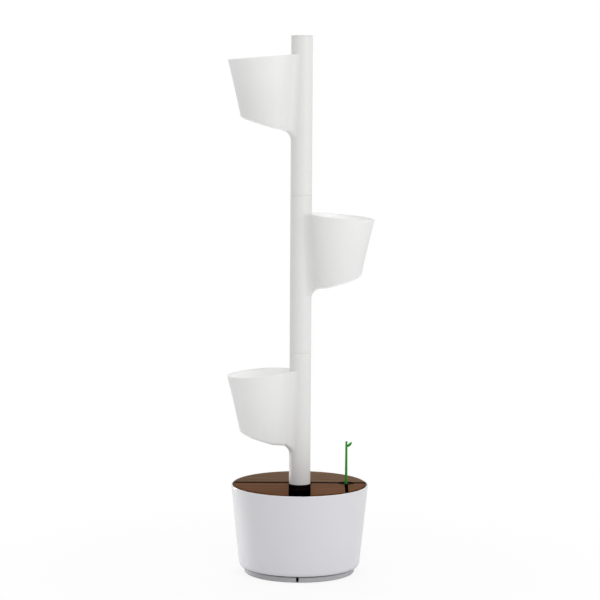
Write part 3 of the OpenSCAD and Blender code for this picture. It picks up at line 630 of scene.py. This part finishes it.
@dataclass(frozen=True)
class Planter:
    """One moulded module: a mast tube and a tilted pot that grows out of it.

    The module is worked out with its tube's upper end at height 0 and its pot towards +X. The
    hollow runs on past the rim by past_rim, past_share and past_lip. lofted_h is about the wall's
    height, which turns the lip's rounding into a share of it. Fields that end in points say how
    many points or rings a stretch has.
    """

    name: str
    side: Side
    upper_end: float
    mast_r: float = 25.0
    pitch: float = MODULE_PITCH
    tube_bore_r: float = 21.0
    socket_r: float = 22.5
    spigot_r: float = 22.42
    spigot_bore_r: float = 19.52
    spigot_len: float = 25.0
    edge_r: float = 1.2
    rim_r: float = 77.5
    floor_r: float = 58.0
    rim_x: float = 93.3
    floor_x: float = 83.6
    rim_drop: float = 40.0
    rim_slope: float = 4.8
    corner_drop: float = 187.5
    floor_slope: float = 16.4
    wall: float = 2.8
    floor_t: float = 3.2
    corner_r: float = 7.5
    neck_r: float = 21.0
    neck_sink: float = 0.2
    under_r: float = 27.0
    under_sink: float = 0.8
    lip_r: float = 1.3
    tray_drop: float = 58.0
    port_drop: float = 53.0
    port_r: float = 2.8
    strainer_drop: float = 205.0
    strainer_r: float = 7.0
    boss_r: float = 12.0
    boss_x: float = 20.0
    strainer_face_x: float = 27.5
    spigot_chamfer: float = 0.6
    round_reach: float = 35.0
    round_blend: float = 30.0
    lofted_h: float = 150.0
    past_rim: float = 8.0
    past_share: float = 0.05
    past_lip: float = 0.1
    off_mast: float = 0.5
    corner_turn: float = 82.0
    corner_points: int = 9
    straight_points: int = 24
    lip_points: int = 6
    fan_points: int = 14
    neck_points: int = 25
    pot_points: int = 48
    tube_points: int = 90

    def outline(self, share: np.ndarray, inset: np.ndarray) -> np.ndarray:
        """Plan outlines of the pot: a hollow curve from the mast, the pot's circle, and back.

        Half an outline is an arc about the neck's centre, which touches a circle about the mast
        and the pot's circle, then the pot's own arc to the tip; the other half mirrors it.

        Args:
            share: for each outline, 0 at the floor and 1 at the rim, of shape (n,).
            inset: for each outline, how far it is moved inwards.

        Returns:
            Points (x, y) of shape (n, points, 2).
        """
        t, d = share[:, None], inset[:, None]
        c = self.floor_x + (self.rim_x - self.floor_x) * t
        r = self.floor_r + (self.rim_r - self.floor_r) * t
        s = self.mast_r - self.neck_sink + self.neck_r
        q = r + self.neck_r
        k = (s * s + c * c - q * q) / (2 * s * c)
        kx, ky = s * k, s * np.sqrt(1 - k * k)
        first, last = np.arctan2(-ky, -kx), np.arctan2(-ky, c - kx)
        a = first + (last - first) * np.linspace(0, 1, self.neck_points)
        neck = np.stack([kx + (self.neck_r + d) * np.cos(a), ky + (self.neck_r + d) * np.sin(a)], -1)
        b = np.arctan2(ky, kx - c) * (1 - np.linspace(0, 1, self.pot_points + 1)[1:])
        pot = np.stack([c + (r - d) * np.cos(b), (r - d) * np.sin(b)], -1)
        half = np.concatenate([neck, pot], 1)
        mirrored = half[:, -2::-1] * (1, -1)
        return np.concatenate([half, mirrored], 1)

    def floor_line(self, x: np.ndarray) -> np.ndarray:
        """Height of the sloping underside line at a distance from the mast."""
        inwards = self.floor_x + self.floor_r - x
        return -self.corner_drop - inwards * math.tan(math.radians(self.floor_slope))

    def rim_line(self, x: np.ndarray) -> np.ndarray:
        """Height of the rim plane at a distance from the mast."""
        return -self.rim_drop - x * math.tan(math.radians(self.rim_slope))

    def underside(self, x: np.ndarray, y: np.ndarray) -> np.ndarray:
        """Height of the underside: a slope that curves down into the mast on a circle's arc.

        Up to round_reach from the mast the distance is measured round the axis, further out along
        X, and the two blend over round_blend.

        Args:
            x: distance from the mast's axis towards the pot.
            y: distance from the module's middle plane.

        Returns:
            The heights.
        """
        near = np.clip((self.mast_r + self.round_reach - x) / self.round_blend, 0, 1)
        q = near * np.hypot(x, y) + (1 - near) * x
        touch = self.mast_r - self.under_sink + self.under_r
        slope = math.radians(self.floor_slope)
        centre = self.floor_line(touch) - self.under_r / math.cos(slope)
        u = np.minimum(self.under_r, touch - q)
        arc = centre + np.sqrt(np.maximum(0, self.under_r**2 - u**2))
        return np.where(q >= touch - self.under_r * math.sin(slope), self.floor_line(q), arc)

    def wall_steps(self, corner: float, lip_way: float) -> tuple[np.ndarray, np.ndarray, np.ndarray]:
        """Steps of a wall: up its lower corner's rounding, its straight and its lip's rounding.

        Args:
            corner: radius of the lower corner's rounding.
            lip_way: 1 where the lip leans inwards and -1 where it leans outwards.

        Returns:
            For each step its share of the way up, its inset and its lift above the floor.
        """
        turn = np.radians(np.linspace(0, self.corner_turn, self.corner_points))
        straight = np.linspace(0, 1, self.straight_points + 2)[1:-1]
        lip = np.radians(np.linspace(0, 90, self.lip_points))
        share = np.concatenate([0 * turn, straight, 1 - self.lip_r * (1 - np.sin(lip)) / self.lofted_h])
        lean = lip_way * self.lip_r * (1 - np.cos(lip))
        inset = np.concatenate([corner * (1 - np.sin(turn)), 0 * straight, lean])
        lift = np.concatenate([corner * (1 - np.cos(turn)), corner + 0 * straight, corner + 0 * lip])
        return share, inset, lift

    def loft(self, steps: np.ndarray, floor: Callable[..., np.ndarray], past_rim: float) -> np.ndarray:
        """Lofts a wall from a floor surface to the rim plane and closes it below and above.

        Each ring is an outline whose height runs from the floor to the rim plane by its share. The
        rings that close it are the first and the last one with y drawn in to the middle line.

        Args:
            steps: for each ring its share of the way up, its inset and its lift above the floor.
            floor: height of the floor surface, from x and y.
            past_rim: how far above the rim plane the loft ends.

        Returns:
            Points of shape (rings, points, 3); the first and last ring lie on the middle line.
        """
        share, inset, lift = steps
        plan = self.outline(share, inset)
        x, y, t = plan[..., 0], plan[..., 1], share[:, None]
        z = (1 - t) * (floor(x, y) + lift[:, None]) + t * self.rim_line(x)
        pull = np.linspace(0, 1, self.fan_points, endpoint=False)[:, None]
        low_x, low_y = x[:1] + 0 * pull, y[:1] * pull
        high = self.rim_line(x[-1:]) + past_rim
        below = (low_x, low_y, floor(low_x, low_y))
        rings = [below, (x, y, z), (x[-1:], y[-1:], high), (x[-1:], 0 * high, high)]
        return np.concatenate([np.stack(ring, -1) for ring in rings])

    def outer_rows(self) -> np.ndarray:
        """Rings of the pot's outer solid: underside, rounded corner, wall and rounded rim."""
        return self.loft(np.stack(self.wall_steps(self.corner_r, 1)), self.underside, 0)

    def hollow_rows(self) -> np.ndarray:
        """Rings of the pot's hollow: floor, rounded corner, wall and rim, and one ring past it.

        Returns:
            Points of shape (rings, points, 3).
        """
        corner = self.corner_r - self.wall
        last = [[1 + self.past_share], [-self.lip_r - self.past_lip], [corner]]
        steps = np.hstack([np.stack(self.wall_steps(corner, -1)), last])
        steps[1] += self.wall
        return self.loft(steps, lambda x, y: self.floor_line(x) + self.floor_t, self.past_rim)

    def tube_profile(self) -> np.ndarray:
        """Outer profile of the tube and its spigot, with rounded ends that make the joint lines.

        Returns:
            Points (radius, height) from the spigot's lower end to the tube's upper end.
        """
        low, edge, chamfer = -self.pitch, self.edge_r, self.spigot_chamfer
        foot = low - self.spigot_len
        wall = np.linspace(low + edge, -edge, self.tube_points + 2)[1:-1]
        return np.concatenate(
            [
                [[0, foot], [self.spigot_r - chamfer, foot]],
                [[self.spigot_r, foot + chamfer], [self.spigot_r, low]],
                arc_profile((self.mast_r - edge, low + edge), edge, -90, 0, 5),
                np.stack([self.mast_r + 0 * wall, wall], -1),
                arc_profile((self.mast_r - edge, -edge), edge, 0, 90, 5),
                [[0, 0]],
            ]
        )

    def bore_profile(self) -> np.ndarray:
        """Profile of the tube's bore: spigot bore, tube bore and the wider socket.

        Returns:
            Points (radius, height) from below the spigot to above the tube.
        """
        low, step = -self.pitch, -self.tray_drop
        foot = low - self.spigot_len - PAST
        spigot = [[0, foot], [self.spigot_bore_r, foot], [self.spigot_bore_r, low]]
        tube = [[self.tube_bore_r, low], [self.tube_bore_r, step]]
        return np.array([*spigot, *tube, [self.socket_r, step], [self.socket_r, PAST], [0, PAST]])

    def mark_inside(self, mesh: Mesh) -> None:
        """Stores 1 on the points of the pot's inner wall and 0 on the others, for the finish's painted
        light.

        A point is inside if it lies nearer to the pot's slanting middle line than the middle of
        the wall does, above the floor's middle, below the lip and off the mast.

        Args:
            mesh: the moulding's mesh, before it is moved to its place.
        """
        flat = np.empty(len(mesh.vertices) * 3, np.float32)
        mesh.vertices.foreach_get("co", flat)
        x, y, z = flat.reshape(-1, 3).T / MM
        low, high = self.floor_line(x) + self.corner_r, self.rim_line(x)
        t = np.clip((z - low) / (high - low), 0, 1)
        reach = np.hypot(x - self.floor_x - (self.rim_x - self.floor_x) * t, y)
        wall = self.floor_r + (self.rim_r - self.floor_r) * t - self.wall / 2
        level = (z > self.floor_line(x) + self.floor_t / 2) & (z < high - self.lip_r)
        inside = (reach < wall) & level & (np.hypot(x, y) > self.mast_r + self.off_mast)
        marks = mesh.attributes.new("inside", "FLOAT", "POINT")
        marks.data.foreach_set("value", inside.astype(np.float32))

    def build(self) -> Object:
        """Builds the whole moulding in place.

        Returns:
            One closed object: pot less its hollow, joined to the tube, less bore, port and drain.
        """
        drain, face = -self.strainer_drop, self.strainer_face_x
        tools = (
            ("DIFFERENCE", make_piece("hollow", self.hollow_rows())),
            ("UNION", make_piece("tube", turned(self.tube_profile()))),
            ("UNION", lying_cylinder("boss", self.boss_r, self.boss_x, face, drain)),
            ("DIFFERENCE", make_piece("bore", turned(self.bore_profile()))),
            ("DIFFERENCE", lying_cylinder("drain", self.strainer_r, 0, face + PAST, drain)),
            ("DIFFERENCE", lying_cylinder("port", self.port_r, 0, self.mast_r + PAST, -self.port_drop)),
        )
        piece = make_piece(self.name, self.outer_rows())
        for operation, tool in tools:
            combine(piece, tool, operation)
        self.mark_inside(piece.data)
        place = Matrix.Translation((0, 0, self.upper_end * MM)) @ Matrix.Rotation(self.side.value, 4, "Z")
        piece.data.transform(place)
        shade(piece.data, SMOOTH_DEG)
        return piece


# Lid


@dataclass(frozen=True)
class Bite:
    """A hole on the lid's seam and the slot in front of it.

    x is where the hole of radius r lies along the seam, and slot_end how far from the seam's line
    the slot of width slot_w ends.
    """

    x: float
    r: float
    slot_w: float
    slot_end: float


@dataclass(frozen=True)
class Lid:
    """The round lid of two boards, with slots in front of the mast and of the level gauge.

    A board has one ring of points on its underside, under_ring in from the edge, and one on its top,
    top_ring in from the rounding, so that the shading bends only at the edge.
    """

    radius: float = 154.67
    shift: float = -0.8
    top: float = LID_TOP_Z
    thick: float = 10.0
    gap: float = 3.0
    edge_r: float = 2.0
    under_edge: float = 0.6
    hole_ease: float = 0.25
    bites: tuple[Bite, ...] = (Bite(0.0, 28.6, 50.8, 144.87), Bite(GAUGE_X, GAUGE_HOLE_R, 7.5, 99.15))
    bridge_t: float = 4.5
    point_step: float = 1.5
    corner_room: float = 3.5
    under_ring: float = 1.6
    top_ring: float = 0.4

    def arc(self, x: float, radius: float, start: float, end: float) -> np.ndarray:
        """Points of an arc, evenly spaced but for some room next to its two ends.

        Args:
            x: where the arc's centre lies on the seam's line.
            radius: the arc's radius.
            start: first angle in radians.
            end: last angle in radians.

        Returns:
            Points (x, y) of shape (points, 2).
        """
        angle = np.linspace(start, end, max(3, int(abs(end - start) * radius / self.point_step)))
        away = np.minimum(abs(angle - start), abs(end - angle)) * radius
        angle = angle[(away > self.corner_room) | (away < 1e-6)]
        return np.stack([x + radius * np.cos(angle), radius * np.sin(angle)], -1)

    def eased(self, points: np.ndarray, share: float) -> np.ndarray:
        """Adds how much each following edge is rounded; the last point starts a length of seam."""
        return np.column_stack([points, np.append(np.full(len(points) - 1, share), 1.0)])

    def seam_turn(self, radius: float) -> float:
        """Angle from the seam's line at which a circle leaves the gap."""
        return math.asin(self.gap / 2 / radius)

    def rear_outline(self) -> np.ndarray:
        """Outline of the rear board, anticlockwise: the lid's arc, then the seam with two bites.

        Returns:
            Points (x, y) and the share of rounding of the edge that follows each.
        """
        turn = self.seam_turn(self.radius)
        parts = [self.eased(self.arc(self.shift, self.radius, turn, math.pi - turn), 1.0)]
        for bite in self.bites:
            turn = self.seam_turn(bite.r)
            parts.append(self.eased(self.arc(bite.x, bite.r, math.pi - turn, turn), self.hole_ease))
        return np.concatenate(parts)

    def front_outline(self) -> np.ndarray:
        """Outline of the front board, anticlockwise: the lid's arc, then the bites with their slots.

        Returns:
            Points (x, y) and the share of rounding of the edge that follows each.
        """
        turn = self.seam_turn(self.radius)
        edge = self.arc(self.shift, self.radius, math.pi + turn, 2 * math.pi - turn)
        parts = [self.eased(edge, 1.0)]
        for bite in reversed(self.bites):
            turn, half = self.seam_turn(bite.r), bite.slot_w / 2
            side = math.acos(half / bite.r)
            right = self.arc(bite.x, bite.r, -turn, -side)
            far = [[bite.x + half, -bite.slot_end], [bite.x - half, -bite.slot_end]]
            left = self.arc(bite.x, bite.r, side - math.pi, turn - math.pi)
            parts.append(self.eased(np.concatenate([right, far, left]), self.hole_ease))
        return np.concatenate(parts)

    def board(self, name: str, outline: np.ndarray) -> Object:
        """Builds a board: its outline carried up a profile with a rounded upper edge.

        Each ring is the outline moved inwards by the inset times each edge's share. A corner goes
        to where its two moved edges meet: along the sum of their inward normals by the mean share
        over one plus the normals' product, and along their difference by half the shares'
        difference over one minus it.

        Args:
            name: the object's name.
            outline: points (x, y) of the board's edge, anticlockwise, and the next edge's share.

        Returns:
            The board as a closed object.
        """
        edge, share = outline[:, :2], outline[:, 2:]
        ahead = np.roll(edge, -1, 0) - edge
        ahead /= np.linalg.norm(ahead, axis=1, keepdims=True)
        inward = np.stack([-ahead[:, 1], ahead[:, 0]], -1)
        before, share_before = np.roll(inward, 1, 0), np.roll(share, 1, 0)
        fold = np.sum(inward * before, 1, keepdims=True)
        mitre = (inward + before) * (share + share_before) / 2 / (1 + fold)
        mitre += (inward - before) * (share - share_before) / 2 / np.maximum(1 - fold, 1e-3)
        turn = np.radians(np.linspace(0, 90, 8))
        low, under, last = self.top - self.thick, self.under_edge, self.edge_r + self.top_ring
        inset = np.concatenate([[self.under_ring, under, 0], self.edge_r * (1 - np.cos(turn)), [last]])
        rounded = self.top - self.edge_r * (1 - np.sin(turn))
        height = np.concatenate([[low, low, low + under], rounded, [self.top]])
        plan = edge[None] + inset[:, None, None] * mitre[None]
        level = np.broadcast_to(height[:, None, None], plan.shape[:2] + (1,))
        return make_piece(name, np.concatenate([plan, level], -1), caps=True, smooth_deg=BOARD_SMOOTH_DEG)

    def lower_bridge(self, piece: Object, bite: Bite) -> None:
        """Cuts down the bridge that closes a slot, so that only its lower part joins the board.

        Args:
            piece: the front board.
            bite: the hole that the slot belongs to.
        """
        left, right = bite.x - bite.slot_w / 2, bite.x + bite.slot_w / 2
        near, far = PAST - bite.slot_end, -self.radius - 2 * PAST
        plan = np.array([[left, near], [left, far], [right, far], [right, near]])
        levels = (self.top - self.thick + self.bridge_t, self.top + PAST)
        rows = [np.column_stack([plan, np.full(len(plan), level)]) for level in levels]
        combine(piece, make_piece("slot_end", np.stack(rows), caps=True), "DIFFERENCE")

    def front_board(self) -> Object:
        """Builds the front board with its two slots.

        Returns:
            The board as a closed object.
        """
        piece = self.board("front_board_wood", self.front_outline())
        for bite in self.bites:
            self.lower_bridge(piece, bite)
        shade(piece.data, BOARD_SMOOTH_DEG)
        return piece

    def rear_board(self) -> Object:
        """Builds the rear board."""
        return self.board("rear_board_wood", self.rear_outline())


# Level gauge


@dataclass(frozen=True)
class Sprout:
    """The level gauge's stem: a slim green shoot with a bud and one pointed leaf.

    Of the leaf's rise leaf_bend is the share that comes from its bend, and thin_share is what its
    thickness keeps at its root. crease is how deep its middle is creased.
    """

    x: float = GAUGE_X
    foot: float = 168.0
    lid_top: float = LID_TOP_Z
    rise: float = 97.0
    seat_r: float = 2.7
    seat_top: float = 180.0
    foot_r: float = 3.1
    tip_r: float = 2.5
    bud_r: float = 2.7
    bud_drop: float = 3.5
    seat_step: float = 1.0
    leaf_drop: float = 11.0
    leaf_len: float = 18.0
    leaf_w: float = 6.0
    leaf_t: float = 2.4
    leaf_turn: float = 42.0
    leaf_sink: float = 0.5
    leaf_root_r: float = 0.9
    leaf_bend: float = 0.55
    thin_share: float = 0.25
    crease: float = 0.35
    taper_points: int = 40
    stem_points: int = 40
    leaf_rings: int = 36
    leaf_points: int = 28

    def stem_rows(self) -> np.ndarray:
        """Rings up the stem: a thin seat, straight to the lid, then tapering and ending in a bud.

        Returns:
            Points of shape (rings, points, 3).
        """
        share = np.linspace(0, 1, self.taper_points)
        radius = self.foot_r + (self.tip_r - self.foot_r) * share**0.8
        taper = np.stack([radius, self.lid_top + share * (self.rise - self.bud_drop)], -1)
        bud = arc_profile((0, self.lid_top + self.rise), self.bud_r, -52, 90, 14)
        seat = [[0, self.foot], [self.seat_r, self.foot], [self.seat_r, self.seat_top]]
        profile = np.concatenate([seat, [[self.foot_r, self.seat_top + self.seat_step]], taper, bud])
        profile[-1, 0] = 0
        return turned(profile, self.stem_points) + (self.x, 0, 0)

    def leaf_rows(self) -> np.ndarray:
        """Rings along the leaf, each a pointed oval that is creased along its upper middle.

        Along the leaf u runs from 0 at the root to 1 at the tip; the middle line leaves the stem
        nearly level and bends upwards, and the half width is a sine arch that is widest past the
        middle.

        Returns:
            Points of shape (rings, points, 3).
        """
        u = np.linspace(0, 1, self.leaf_rings)[:, None]
        angle = np.linspace(0, 2 * np.pi, self.leaf_points, endpoint=False)[None]
        rise = math.radians(self.leaf_turn)
        reach = self.leaf_len * math.cos(rise)
        mid_x = reach * u
        mid_z = self.leaf_len * math.sin(rise) * ((1 - self.leaf_bend) * u + self.leaf_bend * u**2.2)
        slope = np.gradient(mid_z[:, 0], mid_x[:, 0])[:, None]
        across = np.stack([-slope, 0 * slope, 1 + 0 * slope], -1) / np.sqrt(1 + slope**2)[..., None]
        swell = np.sin(np.pi * u**1.35) ** 0.8
        half_w = self.leaf_w / 2 * swell + self.leaf_root_r * (1 - u) ** 2
        half_t = self.leaf_t / 2 * (self.thin_share + (1 - self.thin_share) * swell) * (1 - u**6)
        side, deep = np.cos(angle), np.sin(angle)
        crease = 1 - self.crease * (1 - np.abs(side)) ** 2
        root_x, root_z = self.x - self.leaf_sink, self.lid_top + self.rise - self.leaf_drop
        middle = np.stack([root_x + mid_x, 0 * mid_x, root_z + mid_z], -1)
        thick = np.array([0.0, 1.0, 0.0]) * (half_t * deep * crease)[..., None]
        return middle + across * (half_w * side)[..., None] + thick

    def build(self) -> Object:
        """Builds the stem and joins its leaf to it.

        Returns:
            One closed object.
        """
        piece = make_piece("sprout_stem", self.stem_rows())
        combine(piece, make_piece("leaf", self.leaf_rows(), caps=True), "UNION")
        shade(piece.data, SPROUT_SMOOTH_DEG)
        return piece


# Carried-over nodes


@dataclass(frozen=True)
class CarriedNodes:
    """The CAD nodes that keep their own meshes, under the names of their finishes."""

    tub: tuple[str, ...] = ("base_shell",)
    ring: tuple[str, ...] = ("foot_ring",)
    pots: tuple[str, ...] = ("mast_cap",)
    black: tuple[str, ...] = (
        *("reservoir", "mast_collar", "riser_spreader", "gauge_tube", "gauge_guide"),
        *("pump_housing", "pump_cover", "pump_strainer"),
        *(f"{level}_{kind}" for kind in ("tray", "strainer") for level in LEVELS),
    )
    pad: tuple[str, ...] = tuple(f"foot_pad_{corner}" for corner in range(1, 5))
    steel: tuple[str, ...] = ("foot_screws", "collar_screws", "pump_shaft")
    rotor: tuple[str, ...] = ("pump_impeller",)
    hose: tuple[str, ...] = ("riser_hose",)
    foam: tuple[str, ...] = ("gauge_float",)

    def dress(self, nodes: dict[str, Object], materials: dict[str, Material]) -> None:
        """Gives every carried-over node its finish.

        Args:
            nodes: the frame's nodes by name.
            materials: the built materials by their finishes' names in Finishes.
        """
        for finish, names in vars(self).items():
            for name in names:
                dress(nodes[name], materials[finish])
            log.info("%s: %s", finish, ", ".join(names))


# Studio


@dataclass(frozen=True)
class Lamp:
    """A square soft lamp: where it stands, what it faces, its side in metres, power and spread."""

    name: str
    place: tuple[float, float, float]
    target: tuple[float, float, float]
    side: float
    watts: float
    spread_deg: float = 180.0

    def build(self) -> None:
        """Makes the lamp and turns it to face its target."""
        light = bpy.data.lights.new(self.name, "AREA")
        light.shape = "SQUARE"
        light.size = self.side
        light.energy = self.watts
        light.spread = math.radians(self.spread_deg)
        lamp = bpy.data.objects.new(self.name, light)
        lamp.location = self.place
        view = Vector(self.target) - Vector(self.place)
        lamp.rotation_euler = view.to_track_quat("-Z", "Y").to_euler()
        bpy.context.scene.collection.objects.link(lamp)


@dataclass(frozen=True)
class Studio:
    """A white sweep under soft light, and the camera at the photograph's angle."""

    camera_place: tuple[float, float, float] = (-0.0015, -5.324, 1.2104)
    pitch_deg: float = 6.111
    roll_deg: float = 0.3215
    sensor_mm: float = 36.0
    lens_mm: float = 138.1
    clip_end: float = 60.0
    ambient: float = 0.63
    floor_half: float = 9.0
    covered_r: float = 0.128
    shade_from: float = 0.2
    shade_to: float = 0.9
    shade_glow: float = 0.88
    lamps: tuple[Lamp, ...] = (
        Lamp("key_right", (2.4, -2.2, 1.6), (0.0, 0.0, 0.65), 1.6, 20.0),
        Lamp("top_front", (0.3, -1.7, 3.2), (0.0, 0.0, 0.65), 1.8, 6.0),
        Lamp("back_top", (0.0, 2.6, 2.6), (0.0, 0.0, 0.65), 1.8, 20.0),
        Lamp("low_left", (-1.15, 0.95, 0.1), (-0.15, 0.0, 0.1), 0.16, 0.13, 18.0),
    )

    def build_camera(self) -> None:
        """Makes the camera: level with the pots, looking slightly down, a little turned."""
        data = bpy.data.cameras.new("camera")
        data.sensor_fit = "HORIZONTAL"
        data.sensor_width = self.sensor_mm
        data.lens = self.lens_mm
        data.clip_end = self.clip_end
        camera = bpy.data.objects.new("camera", data)
        tilt = Matrix.Rotation(math.radians(90 - self.pitch_deg), 4, "X")
        roll = Matrix.Rotation(math.radians(self.roll_deg), 4, "Z")
        camera.matrix_world = Matrix.Translation(self.camera_place) @ tilt @ roll
        bpy.context.scene.collection.objects.link(camera)
        bpy.context.scene.camera = camera

    def build_floor(self) -> None:
        """Makes the floor: white to the camera, with a share of the shadow left near the object."""
        half = self.floor_half
        grid = np.linspace(-half, half, 9)
        x, y = np.meshgrid(grid, grid, indexing="ij")
        points, quads = rows_mesh(np.stack([x, y, 0 * x], -1), loop=False)
        mesh = bpy.data.meshes.new("floor")
        mesh.from_pydata(points.tolist(), [], quads.tolist())
        floor = bpy.data.objects.new("floor", mesh)
        bpy.context.scene.collection.objects.link(floor)
        material, tree, place = new_material("matt_white_sweep")
        cloud = add_node(tree, "TexNoise", Vector=place, Scale=3.0)
        shades = {"i6": linear("#f6f6f6"), "i7": linear("#f8f8f8")}
        paint = add_node(tree, "Mix", {"data_type": "RGBA"}, i0=cloud, **shades)
        matt = add_node(tree, "BsdfDiffuse", Color=paint)
        glow = add_node(tree, "Emission", Color=linear("#ffffff"), Strength=1.0)
        reach = off_axis(tree, place)
        fading = {"From_Min": self.shade_from, "From_Max": self.shade_to, "To_Min": self.shade_glow}
        lit = add_node(tree, "MapRange", Value=reach, **fading)
        open_floor = add_node(tree, "Math", {"operation": "GREATER_THAN"}, i0=reach, i1=self.covered_r)
        share = add_node(tree, "Math", {"operation": "MULTIPLY"}, i0=lit, i1=open_floor)
        eye = add_node(tree, "LightPath").outputs["Is Camera Ray"]
        seen = add_node(tree, "Math", {"operation": "MULTIPLY"}, i0=eye, i1=share)
        sweep = add_node(tree, "MixShader", i0=seen, i1=matt, i2=glow)
        add_node(tree, "OutputMaterial", Surface=sweep)
        mesh.materials.append(material)

    def build_world(self) -> None:
        """Makes the world: plain white to the camera and in reflections, dimmer as ambient light."""
        world = bpy.data.worlds.new("studio")
        bpy.context.scene.world = world
        world.use_nodes = True
        world.node_tree.nodes.clear()
        tree = world.node_tree
        path = add_node(tree, "LightPath").outputs
        largest = {"operation": "MAXIMUM"}
        shown = add_node(tree, "Math", largest, i0=path["Is Camera Ray"], i1=path["Is Glossy Ray"])
        clear = add_node(tree, "Math", largest, i0=shown, i1=path["Is Transmission Ray"])
        dim, full = (
            add_node(tree, "Background", Color=linear("#ffffff"), Strength=strength)
            for strength in (self.ambient, 1.0)
        )
        add_node(tree, "OutputWorld", Surface=add_node(tree, "MixShader", i0=clear, i1=dim, i2=full))

    def build(self) -> None:
        """Makes camera, floor, world and lamps."""
        self.build_camera()
        self.build_floor()
        self.build_world()
        for lamp in self.lamps:
            lamp.build()
        bpy.context.scene.view_settings.view_transform = "Standard"
        log.info("studio: %d lamps", len(self.lamps))


# The tower


@dataclass(frozen=True)
class PlantTower:
    """The whole planter: three modules, the lid, the gauge and the carried-over nodes."""

    planters: tuple[Planter, ...] = tuple(
        Planter(LEVELS[tier] + "_planter_skin", side, MAST_FOOT_Z + MODULE_PITCH * (tier + 1))
        for tier, side in enumerate((Side.LEFT, Side.RIGHT, Side.LEFT))
    )
    lid: Lid = Lid()
    sprout: Sprout = Sprout()
    carried: CarriedNodes = CarriedNodes()
    finishes: Finishes = Finishes()

    def build(self, nodes: dict[str, Object]) -> None:
        """Builds and dresses every piece.

        Args:
            nodes: the frame's nodes by name.
        """
        materials = {name: finish.material() for name, finish in vars(self.finishes).items()}
        self.carried.dress(nodes, materials)
        for level, planter in zip(LEVELS, self.planters):
            piece = planter.build()
            install(piece, level + "_module", level + "_planter", materials["pots"])
        lid = self.lid
        install(lid.front_board(), "front_lid", "front_board", materials["front_wood"])
        install(lid.rear_board(), "rear_lid", "rear_board", materials["rear_wood"])
        install(self.sprout.build(), "gauge", "gauge_stem", materials["green"])


def main() -> None:
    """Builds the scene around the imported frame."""
    logging.basicConfig(level=logging.INFO, format="%(message)s")
    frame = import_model()
    Studio().build()
    PlantTower().build(frame["nodes"])


if __name__ == "__main__":
    main()
